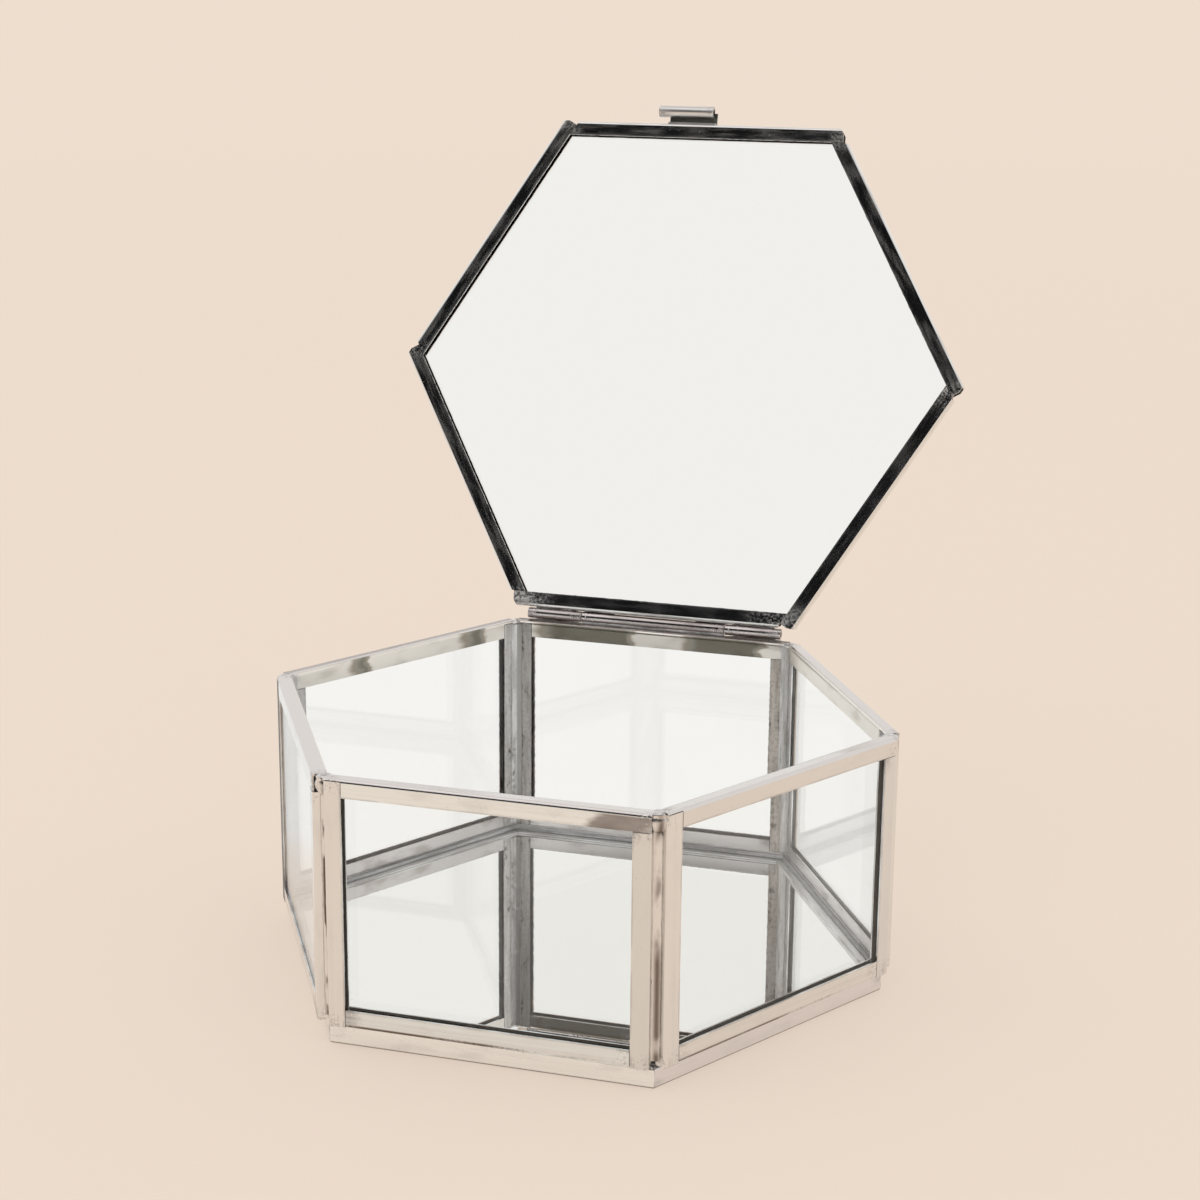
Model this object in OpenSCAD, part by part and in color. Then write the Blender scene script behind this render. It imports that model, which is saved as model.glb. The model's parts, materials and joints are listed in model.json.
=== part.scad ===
// Glass casket box: six framed glass panes soldered into a hexagon, a mirror floor in a channel rim,
// and a framed glass lid on a three-part tube hinge, with a rolled lip to lift it.
// Millimetres. +Z is up, the front faces -Y, and the origin is the middle of the base on the table.
// The lid is drawn open, as photographed.

/* [Box] */
// length of one side of the hexagon, along the inside of a pane
side = 80; // [60:1:110]
// height of the walls' top edge above the table
wall_top = 69; // [50:1:100]
// height of the panes' lower edge above the rim they stand on
pane_lift = 0.4; // [0.3:0.1:1]

/* [Folded channel] */
// thickness of a framed pane, across the channel
channel_w = 4; // [3.8:0.1:4.6]
// thickness of the metal sheet
sheet = 0.45; // [0.35:0.05:0.5]
// outside radius of the folds
fold_r = 0.9; // [0.7:0.05:1]
// how far the channels reach over the glass of the walls
wall_flange = 4.5; // [3.5:0.1:6]
// how far the lid's channels reach over its glass
lid_flange = 4.1; // [3.5:0.1:6]
// how far the base rim reaches over the mirror
rim_flange = 4.4; // [3.5:0.1:6]
// open seam where one channel stops against another
butt_gap = 0.15; // [0.1:0.05:0.3]

/* [Glass] */
// thickness of the clear panes
glass_t = 3; // [2:0.1:3]
// distance from the outside of a channel to the edge of the glass in it
glass_inset = 1.05; // [1:0.05:1.6]

/* [Base] */
// how far the outside of the base rim lies outside the inner faces of the walls
rim_apothem_out = 1.3; // [1.1:0.1:2]
// thickness of the mirror plate
mirror_t = 3; // [2:0.1:4]
// thickness of the board under the mirror, where the rim holds it
backing_t = 1.6; // [0.6:0.1:2]
// space round the thicker middle of the board, inside the rim's lower edge
backing_gap = 0.2; // [0.1:0.05:0.5]
// free space above the mirror and below the board
mirror_play = 0.05; // [0.02:0.01:0.1]
// how far the solder at the foot of the walls reaches over the rim
base_bead_reach = 1.6; // [1:0.1:2.5]
// how far that solder climbs the inside of the walls
base_bead_rise = 1.3; // [1:0.1:2]
// thickness of that solder at its upper edge
base_bead_edge = 0.15; // [0.1:0.05:0.4]

/* [Corner solder] */
// how far the solder reaches along each pane inside a corner
seam_reach = 2.6; // [1.5:0.1:3.5]
// how deep the solder fills the groove between two panes
seam_depth = 2.4; // [1.5:0.1:3]
// radius of the hollow face inside a corner, as a share of the reach
seam_hollow_ratio = 2.3; // [1.9:0.1:3]
// depth of the hollow in the outer face of the seam
seam_dish = 0.35; // [0.2:0.05:0.5]
// how far the seams stop short of the walls' top edge
seam_drop = 0.65; // [0.65:0.05:1.5]
// height of the thicker cap of solder at the top of each seam
seam_cap_h = 1.4; // [0.6:0.1:3]
// how deep that cap fills the groove
seam_cap_depth = 3.3; // [2.8:0.1:3.7]

/* [Lid] */
// how far the lid's edge lies outside the inner faces of the walls
lid_edge_out = 1.9; // [1.6:0.1:2.2]
// space between the walls and the closed lid
lid_gap = 0.3; // [0.3:0.05:0.6]
// how far the lid is open, from closed
open_angle = 108; // [90:1:115]

/* [Hinge] */
// outside radius of the tubes
knuckle_r = 1.5; // [1.4:0.05:1.8]
// radius of the pin
pin_r = 0.75; // [0.5:0.05:0.9]
// radial clearance of the pin in the tubes
pin_fit = 0.05; // [0.03:0.01:0.1]
// distance from the ends of the back pane to the ends of the hinge
hinge_end_in = 2.7; // [1:0.1:8]
// length of each outer tube, fixed to the lid
lid_knuckle_len = 16; // [8:1:18]
// space between neighbouring tubes
knuckle_gap = 0.3; // [0.3:0.05:0.6]
// space between the tubes and the lid's edge
hinge_web_gap = 0.3; // [0.3:0.05:0.5]
// space between the tubes and the walls' top edge
knuckle_lift = 0.25; // [0.25:0.05:0.5]
// how far the pin's ends lie inside the outer tubes
pin_end_in = 0.5; // [0:0.1:2]
// length of the solder on each outer tube
lid_bead_len = 12; // [4:1:15]
// how far that solder reaches up the lid's edge from the hinge axis
lid_bead_up = 1.4; // [0.8:0.1:1.5]
// how far that solder reaches down the lid's edge from the hinge axis
lid_bead_down = 0.5; // [0.2:0.1:0.6]
// how far the middle tube's solder reaches over the rim in front of the axis
body_bead_front = 1.7; // [1:0.1:2]
// how far the middle tube's solder runs down the back of the wall
body_bead_drop = 2.2; // [1:0.1:4]
// space between the open lid and the solder it comes to rest on
stop_gap = 0.08; // [0.05:0.01:0.1]
// length of each of the two heaped stops
stop_len = 9; // [4:1:14]
// nearest point of a stop's face to the axis, along the lid's edge
stop_near = 0.8; // [0.5:0.1:1]
// farthest point of a stop's face from the axis, along the lid's edge
stop_far = 1.6; // [1.3:0.1:1.8]

/* [Lift tab] */
// outside radius of the rolled lip
roll_r = 1.65; // [1.3:0.05:1.7]
// thickness of the tab's sheet
tab_t = 0.6; // [0.4:0.05:0.7]
// length of the rolled lip
roll_len = 16; // [10:1:30]
// width of the leaf that carries the lip
leaf_w = 14; // [8:1:28]
// distance from the lid's edge to the middle of the roll
roll_reach = 3.8; // [3.4:0.1:6]
// slit between the end of the roll and the leaf
roll_slit = 0.35; // [0.2:0.05:0.5]
// height of the roll's lower edge above the closed lid's lower face
roll_up = 0.1; // [0:0.05:0.5]
// how far the leaf stands out past the right end of the roll
leaf_right = 0.9; // [0:0.1:2]
// how far the tab sits to the left of the lid's middle, seen from the front
tab_left = 4.5; // [0:0.5:15]

/* [Hidden] */
$fn = 64;
METAL = "#cfc9c1";
SOLDER = "#8f8f8c";
WIRE = "#b6b2ab";
GLASS = [0.86, 0.93, 0.91, 0.4];
MIRROR = "#c9d2d6";
BOARD = "#3a3a3c";
// turn of each side about +Z, from the front
side_angle = 360 / 6;
FRONT = 0;
FRONT_RIGHT = side_angle;
BACK_RIGHT = 2 * side_angle;
BACK = 3 * side_angle;
BACK_LEFT = 4 * side_angle;
FRONT_LEFT = 5 * side_angle;
// overshoot of a cutting tool
over = 1;
// reach of a block that cuts away everything beyond a plane
far = 60;
flat_share = sqrt(3) / 2;
apothem = side * flat_share;
rim_apothem = apothem + rim_apothem_out;
rim_h = 2 * sheet + mirror_t + backing_t + 2 * mirror_play;
wall_foot = rim_h + pane_lift;
pane_h = wall_top - wall_foot;
glass_depth = (channel_w - glass_t) / 2;
lid_apothem = apothem + lid_edge_out;
lid_side = lid_apothem / flat_share;
lid_foot = wall_top + lid_gap;
axis_y = lid_apothem + hinge_web_gap + knuckle_r;
axis_z = wall_top + knuckle_lift + knuckle_r;
web_reach = knuckle_r + hinge_web_gap;
lid_knuckle_out = side / 2 - hinge_end_in;
lid_knuckle_in = lid_knuckle_out - lid_knuckle_len;
body_knuckle_len = 2 * (lid_knuckle_in - knuckle_gap);
bead_top = wall_foot + base_bead_rise;

// ---- shared shapes ----

// rectangle whose two corners next to x = 0 are rounded
module folded_outline(depth, width, r) {
    translate([r, 0]) square([depth - r, width]);
    translate([0, r]) square([2 * r, width - 2 * r]);
    translate([r, r]) circle(r);
    translate([r, width - r]) circle(r);
}

// section of a folded channel: x runs from the web to the flange edges, y across the channel
module channel_section(flange, width) {
    difference() {
        folded_outline(flange, width, fold_r);
        translate([sheet, sheet]) folded_outline(flange + over, width - 2 * sheet, fold_r - sheet);
    }
}

// length of a wall section along +X, its depth along +Z, its thickness towards -Y
module along_wall(length) rotate([0, -90, 180]) linear_extrude(length) children();

// length of a flat section along +X, its depth along +Y, its thickness along +Z
module along_rim(length) rotate([90, 0, 90]) linear_extrude(length) children();

// draws on the front side, then turns the result to another side
module on_side(turn) rotate([0, 0, turn]) children();

// left and right change places, as on the back pane
module turned_over() mirror([1, 0, 0]) children();

// lower left corner of the front pane's inner face
module on_pane() translate([-side / 2, -apothem, wall_foot]) children();

// everything beyond a side plane at a distance from the middle
module beyond(distance) translate([-far, -distance - far, 0]) cube([2 * far, far, 2 * wall_top]);

// six-sided prism with flats facing front and back
module hexagon_plate(flat, height) cylinder(h = height, r = flat / flat_share, $fn = 6);

// closed lid to the open pose
module lid_pose() {
    translate([0, axis_y, axis_z]) rotate([-open_angle, 0, 0]) translate([0, -axis_y, -axis_z]) children();
}

// middle of the hinge axis
module on_axis() translate([0, axis_y, axis_z]) children();

// ---- pieces of one wall ----

module pane_glass() on_pane() translate([glass_inset, glass_depth - channel_w, glass_inset])
    cube([side - 2 * glass_inset, glass_t, pane_h - 2 * glass_inset]);

module pane_left_post() {
    post_h = pane_h - sheet - butt_gap;
    on_pane() translate([0, 0, post_h]) rotate([0, 90, 0])
        along_wall(post_h) channel_section(wall_flange, channel_w);
}

module pane_right_post() on_pane() translate([side, 0, 0]) rotate([0, -90, 0])
    along_wall(pane_h - wall_flange - butt_gap) channel_section(wall_flange, channel_w);

// its flanges are notched at the left end, where only its web runs on over the end of the post
module pane_top_strip() {
    notch = wall_flange + butt_gap;
    on_pane() translate([side, 0, pane_h]) rotate([0, 180, 0]) difference() {
        along_wall(side) channel_section(wall_flange, channel_w);
        translate([side - notch, -channel_w - over, sheet])
            cube([notch + over, channel_w + 2 * over, wall_flange]);
    }
}

module pane_bottom_strip() on_pane() translate([wall_flange + butt_gap, 0, 0])
    along_wall(side - 2 * (wall_flange + butt_gap)) channel_section(wall_flange, channel_w);

// ---- pieces of the base ----

module rim_strip() intersection() {
    translate([-rim_apothem, -rim_apothem, 0])
        along_rim(2 * rim_apothem) channel_section(rim_flange, rim_h);
    translate([0, -butt_gap, -over]) linear_extrude(rim_h + 2 * over)
        polygon([[0, 0], [-rim_apothem, -2 * rim_apothem * flat_share], [rim_apothem, -2 * rim_apothem * flat_share]]);
}

module mirror_plate() translate([0, 0, rim_h - sheet - mirror_play - mirror_t])
    hexagon_plate(rim_apothem - glass_inset, mirror_t);

// held by its thinner edge, with its middle level with the rim's underside
module backing_board() {
    translate([0, 0, sheet + mirror_play]) hexagon_plate(rim_apothem - glass_inset, backing_t);
    hexagon_plate(rim_apothem - rim_flange - backing_gap, sheet + backing_t);
}

// room taken by the foot of one wall: rounded along the bottom strip, square under the posts,
// and clear of the groove outside each corner
module wall_foot_room() on_pane() {
    post_room = wall_flange + butt_gap + channel_w;
    along_wall(side) folded_outline(2 * wall_flange, channel_w, fold_r);
    for (start = [-channel_w, side + channel_w - post_room])
        translate([start, -channel_w, 0]) cube([post_room, channel_w, wall_flange]);
}

module base_bead() difference() {
    translate([0, 0, rim_h]) hexagon_plate(rim_apothem - fold_r, bead_top - rim_h);
    translate([0, 0, rim_h]) cylinder(h = bead_top - rim_h, r1 = (apothem - base_bead_reach) / flat_share,
        r2 = (apothem - base_bead_edge) / flat_share, $fn = 6);
    for (turn = [FRONT, FRONT_RIGHT, BACK_RIGHT, BACK, BACK_LEFT, FRONT_LEFT]) on_side(turn) wall_foot_room();
}

// ---- solder in a corner, drawn at the right end of the front pane ----

// plan of one post beside the corner, whose bisector runs along +Y
module post_plan() rotate(-30) folded_outline(wall_flange, channel_w, fold_r);

// the groove between the posts is filled to a depth
module seam_plan(fill) {
    groove_half = fill / 2;
    groove_out = fill * flat_share;
    dish_r = (groove_half * groove_half + seam_dish * seam_dish) / (2 * seam_dish);
    hollow_r = seam_hollow_ratio * seam_reach;
    toe_x = seam_reach * flat_share;
    toe_y = -seam_reach / 2;
    difference() {
        polygon([[-toe_x, toe_y], [toe_x, toe_y], [groove_half, groove_out], [-groove_half, groove_out]]);
        post_plan();
        mirror([1, 0]) post_plan();
        translate([0, toe_y - sqrt(hollow_r * hollow_r - toe_x * toe_x)]) circle(hollow_r);
        translate([0, groove_out - seam_dish + dish_r]) circle(dish_r);
    }
}

// square end of a top strip that runs through over its right post, with a little room past it
module strip_end() on_pane() translate([side - wall_flange, -channel_w, pane_h - wall_flange - butt_gap])
    cube([wall_flange + butt_gap / 2, channel_w, wall_flange + butt_gap]);

// which of the two top strips run through to the corner: the one that ends there, the one that starts there
module corner_seam(ends_through = true, starts_through = false) difference() {
    seam_top = wall_top - seam_drop;
    translate([side / 2, -apothem, 0]) rotate([0, 0, -150]) {
        translate([0, 0, bead_top]) linear_extrude(seam_top - bead_top) seam_plan(seam_depth);
        translate([0, 0, seam_top - seam_cap_h]) linear_extrude(seam_cap_h) seam_plan(seam_cap_depth);
    }
    if (ends_through) strip_end();
    if (starts_through) on_side(side_angle) turned_over() strip_end();
}

// ---- hinge ----

// point at an angle around the hinge axis, at a share of the tube's radius
function round_tube(angle, share) = [share * knuckle_r * cos(angle), share * knuckle_r * sin(angle)];

module knuckle(start, length) translate([start, 0, 0]) rotate([0, 90, 0]) difference() {
    cylinder(h = length, r = knuckle_r);
    translate([0, 0, -over]) cylinder(h = length + 2 * over, r = pin_r + pin_fit);
}

module hinge_wire() rotate([0, 90, 0])
    cylinder(h = 2 * (lid_knuckle_out - pin_end_in), r = pin_r, center = true);

// takes the tube and the rounded top of the back wall out of a section of solder
module clear_of_tube_and_wall() difference() {
    children();
    circle(knuckle_r);
    translate([apothem - axis_y, wall_top - axis_z]) rotate(-90)
        folded_outline(2 * wall_flange, channel_w, fold_r);
}

module low_bead_section() {
    rim_level = wall_top - axis_z;
    wall_back = apothem + channel_w - axis_y;
    clear_of_tube_and_wall() polygon([
        [-body_bead_front, rim_level - fold_r], [-body_bead_front, rim_level], round_tube(215, 0.95),
        round_tube(330, 0.95), round_tube(330, 1.1), [wall_back, rim_level - body_bead_drop],
        [wall_back - channel_w / 2, rim_level - body_bead_drop]
    ]);
}

// heap behind the tube, whose face lies along the open lid's edge
module stop_section() {
    rest = 180 - open_angle;
    face = web_reach - stop_gap;
    near = [face * cos(rest) + stop_near * sin(rest), face * sin(rest) - stop_near * cos(rest)];
    out = [face * cos(rest) + stop_far * sin(rest), face * sin(rest) - stop_far * cos(rest)];
    wall_back = apothem + channel_w - axis_y;
    foot = wall_top - axis_z - body_bead_drop;
    clear_of_tube_and_wall() polygon([
        round_tube(40, 0.9), near, out, [out[0], 0], [wall_back, foot], [wall_back - channel_w / 2, foot],
        round_tube(270, 0.9)
    ]);
}

module body_knuckle_bead() on_axis() {
    translate([-body_knuckle_len / 2, 0, 0]) along_rim(body_knuckle_len) low_bead_section();
    for (start = [-body_knuckle_len / 2, body_knuckle_len / 2 - stop_len])
        translate([start, 0, 0]) along_rim(stop_len) stop_section();
}

module lid_bead_section() difference() {
    polygon([
        [-web_reach, -lid_bead_down], [-web_reach, lid_bead_up], round_tube(115, 1.02),
        round_tube(180, 0.5), round_tube(215, 1)
    ]);
    circle(knuckle_r);
}

module lid_knuckle_beads() on_axis() {
    inset = (lid_knuckle_len - lid_bead_len) / 2;
    for (start = [-lid_knuckle_out + inset, lid_knuckle_in + inset])
        translate([start, 0, 0]) along_rim(lid_bead_len) lid_bead_section();
}

// ---- lid, drawn closed ----

module lid_plate() translate([0, 0, lid_foot + glass_depth])
    hexagon_plate(lid_apothem - glass_inset, glass_t);

// runs through at its right end and stops against its neighbour at its left end
module lid_strip() difference() {
    translate([-lid_side / 2 - over, -lid_apothem, lid_foot])
        along_rim(lid_side + 2 * over) channel_section(lid_flange, channel_w);
    on_side(FRONT_RIGHT) beyond(lid_apothem);
    on_side(FRONT_LEFT) beyond(lid_apothem - lid_flange - butt_gap);
}

// draws a section outwards from the lid's front edge, along a length of it
module on_lid_edge(start, length) translate([start, -lid_apothem, lid_foot])
    mirror([0, 1, 0]) along_rim(length) children();

module rolled_tab() {
    roll_mid = roll_up + roll_r;
    leaf_top = roll_mid + roll_r;
    roll_start = -tab_left - roll_len / 2;
    on_lid_edge(roll_start + roll_len + leaf_right - leaf_w, leaf_w) {
        translate([0, fold_r]) square([tab_t, leaf_top - fold_r]);
        translate([0, leaf_top - tab_t]) square([roll_reach, tab_t]);
    }
    on_lid_edge(roll_start, roll_len) translate([roll_reach, roll_mid]) difference() {
        circle(roll_r);
        circle(roll_r - tab_t);
        translate([-roll_r, roll_r - tab_t - roll_slit]) square([roll_r, roll_slit]);
    }
}

// ---- base ----
module base_rim_front() color(METAL) on_side(FRONT) rim_strip();
module base_rim_front_right() color(METAL) on_side(FRONT_RIGHT) rim_strip();
module base_rim_back_right() color(METAL) on_side(BACK_RIGHT) rim_strip();
module base_rim_back() color(METAL) on_side(BACK) rim_strip();
module base_rim_back_left() color(METAL) on_side(BACK_LEFT) rim_strip();
module base_rim_front_left() color(METAL) on_side(FRONT_LEFT) rim_strip();
module base_mirror() color(MIRROR) mirror_plate();
module mirror_backing() color(BOARD) backing_board();
module base_solder() color(SOLDER) base_bead();

// ---- walls, each pane with its four folded channels ----
module front_pane_glass() color(GLASS) on_side(FRONT) pane_glass();
module front_pane_left_post() color(METAL) on_side(FRONT) pane_left_post();
module front_pane_right_post() color(METAL) on_side(FRONT) pane_right_post();
module front_pane_top_strip() color(METAL) on_side(FRONT) pane_top_strip();
module front_pane_bottom_strip() color(METAL) on_side(FRONT) pane_bottom_strip();
module front_right_pane_glass() color(GLASS) on_side(FRONT_RIGHT) pane_glass();
module front_right_pane_left_post() color(METAL) on_side(FRONT_RIGHT) pane_left_post();
module front_right_pane_right_post() color(METAL) on_side(FRONT_RIGHT) pane_right_post();
module front_right_pane_top_strip() color(METAL) on_side(FRONT_RIGHT) pane_top_strip();
module front_right_pane_bottom_strip() color(METAL) on_side(FRONT_RIGHT) pane_bottom_strip();
module back_right_pane_glass() color(GLASS) on_side(BACK_RIGHT) pane_glass();
module back_right_pane_left_post() color(METAL) on_side(BACK_RIGHT) pane_left_post();
module back_right_pane_right_post() color(METAL) on_side(BACK_RIGHT) pane_right_post();
module back_right_pane_top_strip() color(METAL) on_side(BACK_RIGHT) pane_top_strip();
module back_right_pane_bottom_strip() color(METAL) on_side(BACK_RIGHT) pane_bottom_strip();
module back_pane_glass() color(GLASS) on_side(BACK) pane_glass();
module back_pane_left_post() color(METAL) on_side(BACK) turned_over() pane_right_post();
module back_pane_right_post() color(METAL) on_side(BACK) turned_over() pane_left_post();
module back_pane_top_strip() color(METAL) on_side(BACK) turned_over() pane_top_strip();
module back_pane_bottom_strip() color(METAL) on_side(BACK) pane_bottom_strip();
module back_left_pane_glass() color(GLASS) on_side(BACK_LEFT) pane_glass();
module back_left_pane_left_post() color(METAL) on_side(BACK_LEFT) pane_left_post();
module back_left_pane_right_post() color(METAL) on_side(BACK_LEFT) pane_right_post();
module back_left_pane_top_strip() color(METAL) on_side(BACK_LEFT) pane_top_strip();
module back_left_pane_bottom_strip() color(METAL) on_side(BACK_LEFT) pane_bottom_strip();
module front_left_pane_glass() color(GLASS) on_side(FRONT_LEFT) pane_glass();
module front_left_pane_left_post() color(METAL) on_side(FRONT_LEFT) pane_left_post();
module front_left_pane_right_post() color(METAL) on_side(FRONT_LEFT) pane_right_post();
module front_left_pane_top_strip() color(METAL) on_side(FRONT_LEFT) pane_top_strip();
module front_left_pane_bottom_strip() color(METAL) on_side(FRONT_LEFT) pane_bottom_strip();

// ---- solder in the six corners ----
module front_right_corner_seam() color(SOLDER) on_side(FRONT) corner_seam();
module right_corner_seam() color(SOLDER) on_side(FRONT_RIGHT) corner_seam();
module back_right_corner_seam() color(SOLDER) on_side(BACK_RIGHT) corner_seam(starts_through = true);
module back_left_corner_seam() color(SOLDER) on_side(BACK) corner_seam(ends_through = false);
module left_corner_seam() color(SOLDER) on_side(BACK_LEFT) corner_seam();
module front_left_corner_seam() color(SOLDER) on_side(FRONT_LEFT) corner_seam();

// ---- hinge, the half that stays with the box ----
module hinge_body_knuckle() color(METAL) on_axis() knuckle(-body_knuckle_len / 2, body_knuckle_len);
module hinge_body_solder() color(SOLDER) body_knuckle_bead();

// ---- lid, with the half of the hinge that turns ----
module lid_glass() color(GLASS) lid_pose() lid_plate();
module lid_front_channel() color(METAL) lid_pose() on_side(FRONT) lid_strip();
module lid_front_right_channel() color(METAL) lid_pose() on_side(FRONT_RIGHT) lid_strip();
module lid_back_right_channel() color(METAL) lid_pose() on_side(BACK_RIGHT) lid_strip();
module lid_back_channel() color(METAL) lid_pose() on_side(BACK) lid_strip();
module lid_back_left_channel() color(METAL) lid_pose() on_side(BACK_LEFT) lid_strip();
module lid_front_left_channel() color(METAL) lid_pose() on_side(FRONT_LEFT) lid_strip();
module hinge_left_knuckle() color(METAL) lid_pose() on_axis() knuckle(-lid_knuckle_out, lid_knuckle_len);
module hinge_right_knuckle() color(METAL) lid_pose() on_axis() knuckle(lid_knuckle_in, lid_knuckle_len);
module hinge_lid_solder() color(SOLDER) lid_pose() lid_knuckle_beads();
module hinge_pin() color(WIRE) lid_pose() on_axis() hinge_wire();
module lift_tab() color(METAL) lid_pose() rolled_tab();

base_rim_front();
base_rim_front_right();
base_rim_back_right();
base_rim_back();
base_rim_back_left();
base_rim_front_left();
base_mirror();
mirror_backing();
base_solder();
front_pane_glass();
front_pane_left_post();
front_pane_right_post();
front_pane_top_strip();
front_pane_bottom_strip();
front_right_pane_glass();
front_right_pane_left_post();
front_right_pane_right_post();
front_right_pane_top_strip();
front_right_pane_bottom_strip();
back_right_pane_glass();
back_right_pane_left_post();
back_right_pane_right_post();
back_right_pane_top_strip();
back_right_pane_bottom_strip();
back_pane_glass();
back_pane_left_post();
back_pane_right_post();
back_pane_top_strip();
back_pane_bottom_strip();
back_left_pane_glass();
back_left_pane_left_post();
back_left_pane_right_post();
back_left_pane_top_strip();
back_left_pane_bottom_strip();
front_left_pane_glass();
front_left_pane_left_post();
front_left_pane_right_post();
front_left_pane_top_strip();
front_left_pane_bottom_strip();
front_right_corner_seam();
right_corner_seam();
back_right_corner_seam();
back_left_corner_seam();
left_corner_seam();
front_left_corner_seam();
hinge_body_knuckle();
hinge_body_solder();
lid_glass();
lid_front_channel();
lid_front_right_channel();
lid_back_right_channel();
lid_back_channel();
lid_back_left_channel();
lid_front_left_channel();
hinge_left_knuckle();
hinge_right_knuckle();
hinge_lid_solder();
hinge_pin();
lift_tab();
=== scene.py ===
"""Looks of a six-sided glass casket box: sheet metal, solder, clear glass and a mirror floor."""

import json
import logging
import math
from dataclasses import dataclass, field
from enum import Enum
from typing import Any, Callable, Iterable

import bpy
from mathutils import Matrix, Vector

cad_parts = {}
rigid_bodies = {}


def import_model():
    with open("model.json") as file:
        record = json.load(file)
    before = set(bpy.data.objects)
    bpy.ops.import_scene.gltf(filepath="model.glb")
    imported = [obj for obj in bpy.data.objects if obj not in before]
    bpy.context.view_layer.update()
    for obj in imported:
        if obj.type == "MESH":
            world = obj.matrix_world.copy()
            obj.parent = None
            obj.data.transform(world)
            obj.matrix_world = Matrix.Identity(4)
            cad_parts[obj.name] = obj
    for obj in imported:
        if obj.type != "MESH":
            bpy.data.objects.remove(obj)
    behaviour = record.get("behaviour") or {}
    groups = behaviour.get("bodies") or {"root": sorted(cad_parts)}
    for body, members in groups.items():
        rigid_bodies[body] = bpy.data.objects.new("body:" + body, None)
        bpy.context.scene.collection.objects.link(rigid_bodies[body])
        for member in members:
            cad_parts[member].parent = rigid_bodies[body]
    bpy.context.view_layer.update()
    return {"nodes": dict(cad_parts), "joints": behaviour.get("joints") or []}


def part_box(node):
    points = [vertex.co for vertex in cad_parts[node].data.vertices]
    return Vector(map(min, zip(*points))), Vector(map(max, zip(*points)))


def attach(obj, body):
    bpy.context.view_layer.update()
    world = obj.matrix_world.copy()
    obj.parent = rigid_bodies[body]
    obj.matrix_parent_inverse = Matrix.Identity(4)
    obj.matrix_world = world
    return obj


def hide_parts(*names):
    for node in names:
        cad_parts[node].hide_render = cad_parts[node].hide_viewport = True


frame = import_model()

MM = 0.001
SEAM = 0.01 * MM
OPEN_ANGLE = max(frame["joints"][0]["range_deg"])
LOG = logging.getLogger("glass_box")
Colour = tuple[float, float, float]
Socket = bpy.types.NodeSocket


# ---- shader maths ----


class Shade:
    """A number on its way through a shader. Python's operators add its Math nodes."""

    def __init__(self, graph: "Graph", socket: Socket) -> None:
        """Keeps the socket that carries the number, and the graph it is part of."""
        self.graph = graph
        self.socket = socket

    def math(self, operation: str, *others: "Shade | float") -> "Shade":
        """Result of one Math operation on this number.

        Args:
            operation: name of the Math node's operation.
            others: the further numbers that the operation takes.
        Returns:
            The new number.
        """
        values = dict(enumerate((self, *others)))
        return self.graph.number("ShaderNodeMath", {"operation": operation}, values)

    def __add__(self, other: "Shade | float") -> "Shade":
        """Sum."""
        return self.math("ADD", other)

    __radd__ = __add__

    def __mul__(self, other: "Shade | float") -> "Shade":
        """Product."""
        return self.math("MULTIPLY", other)

    __rmul__ = __mul__

    def __sub__(self, other: "Shade | float") -> "Shade":
        """Difference."""
        return self.math("SUBTRACT", other)

    def __rsub__(self, other: float) -> "Shade":
        """Difference, with this number taken away from a plain one."""
        return self.graph.number("ShaderNodeMath", {"operation": "SUBTRACT"}, {0: other, 1: self})

    def __truediv__(self, other: "Shade | float") -> "Shade":
        """Quotient."""
        return self.math("DIVIDE", other)

    def __pow__(self, other: float) -> "Shade":
        """Power."""
        return self.math("POWER", other)

    def below(self, limit: float) -> "Shade":
        """1 where the number is under the limit, else 0."""
        return self.math("LESS_THAN", limit)

    def above(self, limit: float) -> "Shade":
        """1 where the number is over the limit, else 0."""
        return self.math("GREATER_THAN", limit)

    def size(self) -> "Shade":
        """The number without its sign."""
        return self.math("ABSOLUTE")

    def rise(self, start: float, end: float) -> "Shade":
        """Smooth step of the number.

        Args:
            start: where the step leaves 0.
            end: where it reaches 1. It may lie under the start, and the step then falls.
        Returns:
            The step, from 0 to 1.
        """
        settings = {"interpolation_type": "SMOOTHSTEP"}
        if start < end:
            return self.graph.number("ShaderNodeMapRange", settings, {0: self, 1: start, 2: end})
        return 1 - self.graph.number("ShaderNodeMapRange", settings, {0: self, 1: end, 2: start})

    def near(self, middle: float, width: float) -> "Shade":
        """1 at the middle value, falling smoothly to 0 at a width from it."""
        return (self - middle).size().rise(width, 0)


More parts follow.
